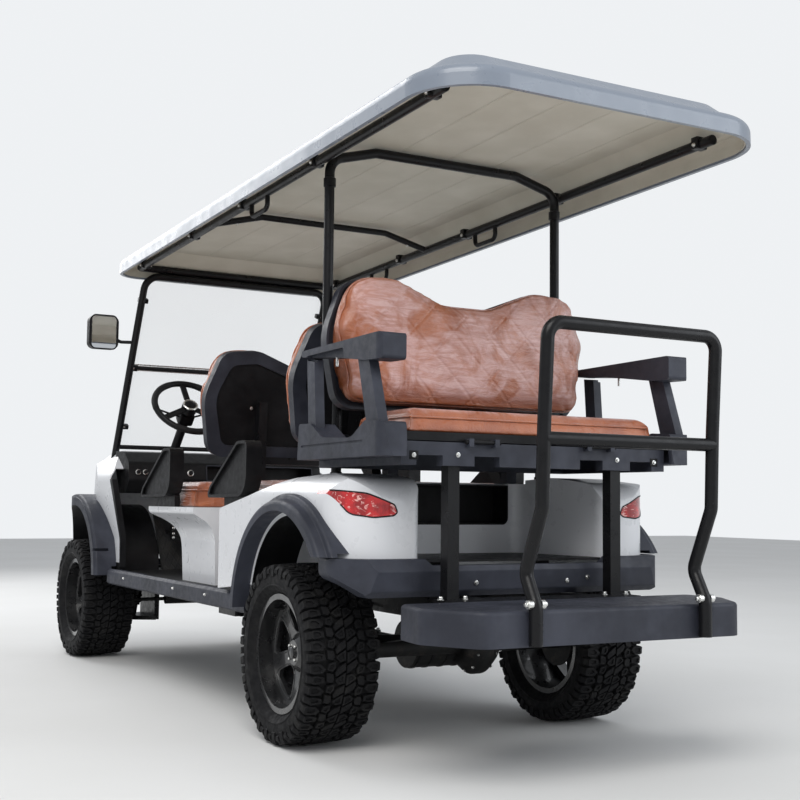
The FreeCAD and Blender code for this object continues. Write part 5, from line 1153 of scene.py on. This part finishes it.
def nose_fittings():
    """Slats across the nose between the headlamps."""
    slats = bmesh.new()
    for i in range(5):
        z = 600 + 24 * i
        for side in (1, -1):
            for step in range(6):
                y = (18 + 36 * step) * side
                place, normal = on("front_cowl", at(3100, y, z), BACKWARD)
                turn = Vector(normal).to_track_quat("X", "Z").to_matrix()
                block(slats, place, (0.006, 0.0362, 0.011), turn, 0.0018)
    piece("nose_slats", slats, "black_plastic")


def sill_treads():
    """Low ribs along the top of each sill at the doorways."""
    ribs = bmesh.new()
    for side in (1, -1):
        for start, count in ((1640, 22), (700, 16)):
            for i in range(count):
                place = on("side_sills", at(start + 18 * i, 548 * side, 520), DOWN)[0]
                block(ribs, place, (0.006, 0.030, 0.002), edge=0.0007)
    piece("sill_ribs", ribs, "grey_plastic")


# Materials of the CAD nodes

NODE_LOOKS = {
    "grey_plastic": ("side_sills", "rear_bumper", "rear_flares", "front_flares", "front_bumper", "rear_deck",
                     "rear_armrests", "rear_step"),
    "black_plastic": ("steering_column", "steering_wheel", "cargo_well", "doorway_trim", "dashboard",
                      "seat_back_shells", "hip_restraints", "battery_pack", "flip_board", "mirrors"),
    "black_steel": ("chassis_frame", "leaf_springs", "front_suspension", "pedals", "seat_frames", "rear_hoop",
                    "roof_rails", "roof_posts", "windscreen_frame"),
    "axle_iron": ("rear_axle", "knuckle_left", "knuckle_right", "tie_rod", "steering_rack"),
    "white_panel": ("rear_body", "front_cowl", "seat_box"),
    "roof_gloss": ("roof_shell",),
    "cream_liner": ("roof_liner",),
    "rim_black": ("rim_front_left", "rim_front_right", "rim_rear_left", "rim_rear_right"),
    "floor_rubber": ("floor_pan",),
    "clear_acrylic": ("windscreen_panes",),
    "red_lens": ("tail_lamps",),
    "clear_lens": ("headlamps",),
}


def from_arch(point, arch):
    """How far a point is from the middle of a wheel arch, seen from the side."""
    return math.hypot(point.x - arch, point.z - ARCH_UP)


def in_house(point, arch, deepest):
    """Whether a point is on the wheel house behind a flare."""
    return from_arch(point, arch) < 352 and abs(point.y) < deepest


def recessed(point, normal):
    """Whether a face is the floor of the recess in the back of a seat's shell."""
    for x, z, lean, way in ((1195, 985, 10, 1), (335, 997, 10, 1), (-168, 1095, 3, -1)):
        slope = math.radians(lean)
        ahead = Vector((math.cos(slope) * way, 0, math.sin(slope)))
        depth = (point - Vector((x, 0, z))).dot(ahead)
        if -118 < depth < -110 and abs(normal.dot(ahead)) > 0.98 and abs(point.x - x) < 260:
            return True
    return False


def dress_nodes():
    for look, names in NODE_LOOKS.items():
        for name in names:
            mesh = cad[name].data
            mesh.shade_smooth()
            mesh.set_sharp_from_angle(angle=math.radians(32))
            dress(cad[name], look)
    dress(cad["seat_back_shells"], "shell_grey")
    repaint("seat_back_shells", "black_plastic", recessed)
    repaint("rear_body", "black_plastic", lambda point, normal: from_arch(point, REAR_ARCH) < 345
            and abs(point.y) > 400 and abs(normal.y) < 0.3)
    repaint("rear_flares", "black_plastic", lambda point, normal: in_house(point, REAR_ARCH, 595))
    repaint("front_flares", "black_plastic", lambda point, normal: in_house(point, FRONT_ARCH, 560))
    # Painted shade: a black patch on each side of the seat box, where the recess in its side lies in shade.
    repaint("seat_box", "black_plastic", lambda point, normal: 1317 < point.x < 1371 and 511 < point.z < 593
            and 440 < abs(point.y) < 456)


dress_nodes()
wheels()
seats()
fastenings()
deck_plates()
through_bolts()
roof_fittings()
screen_fittings()
mirror_fittings()
driver_fittings()
armrest_fittings()
hoop_fittings()
lamp_borders()
running_gear()
nose_fittings()
sill_treads()
studio()
camera()
bpy.context.scene.view_settings.view_transform = "Standard"
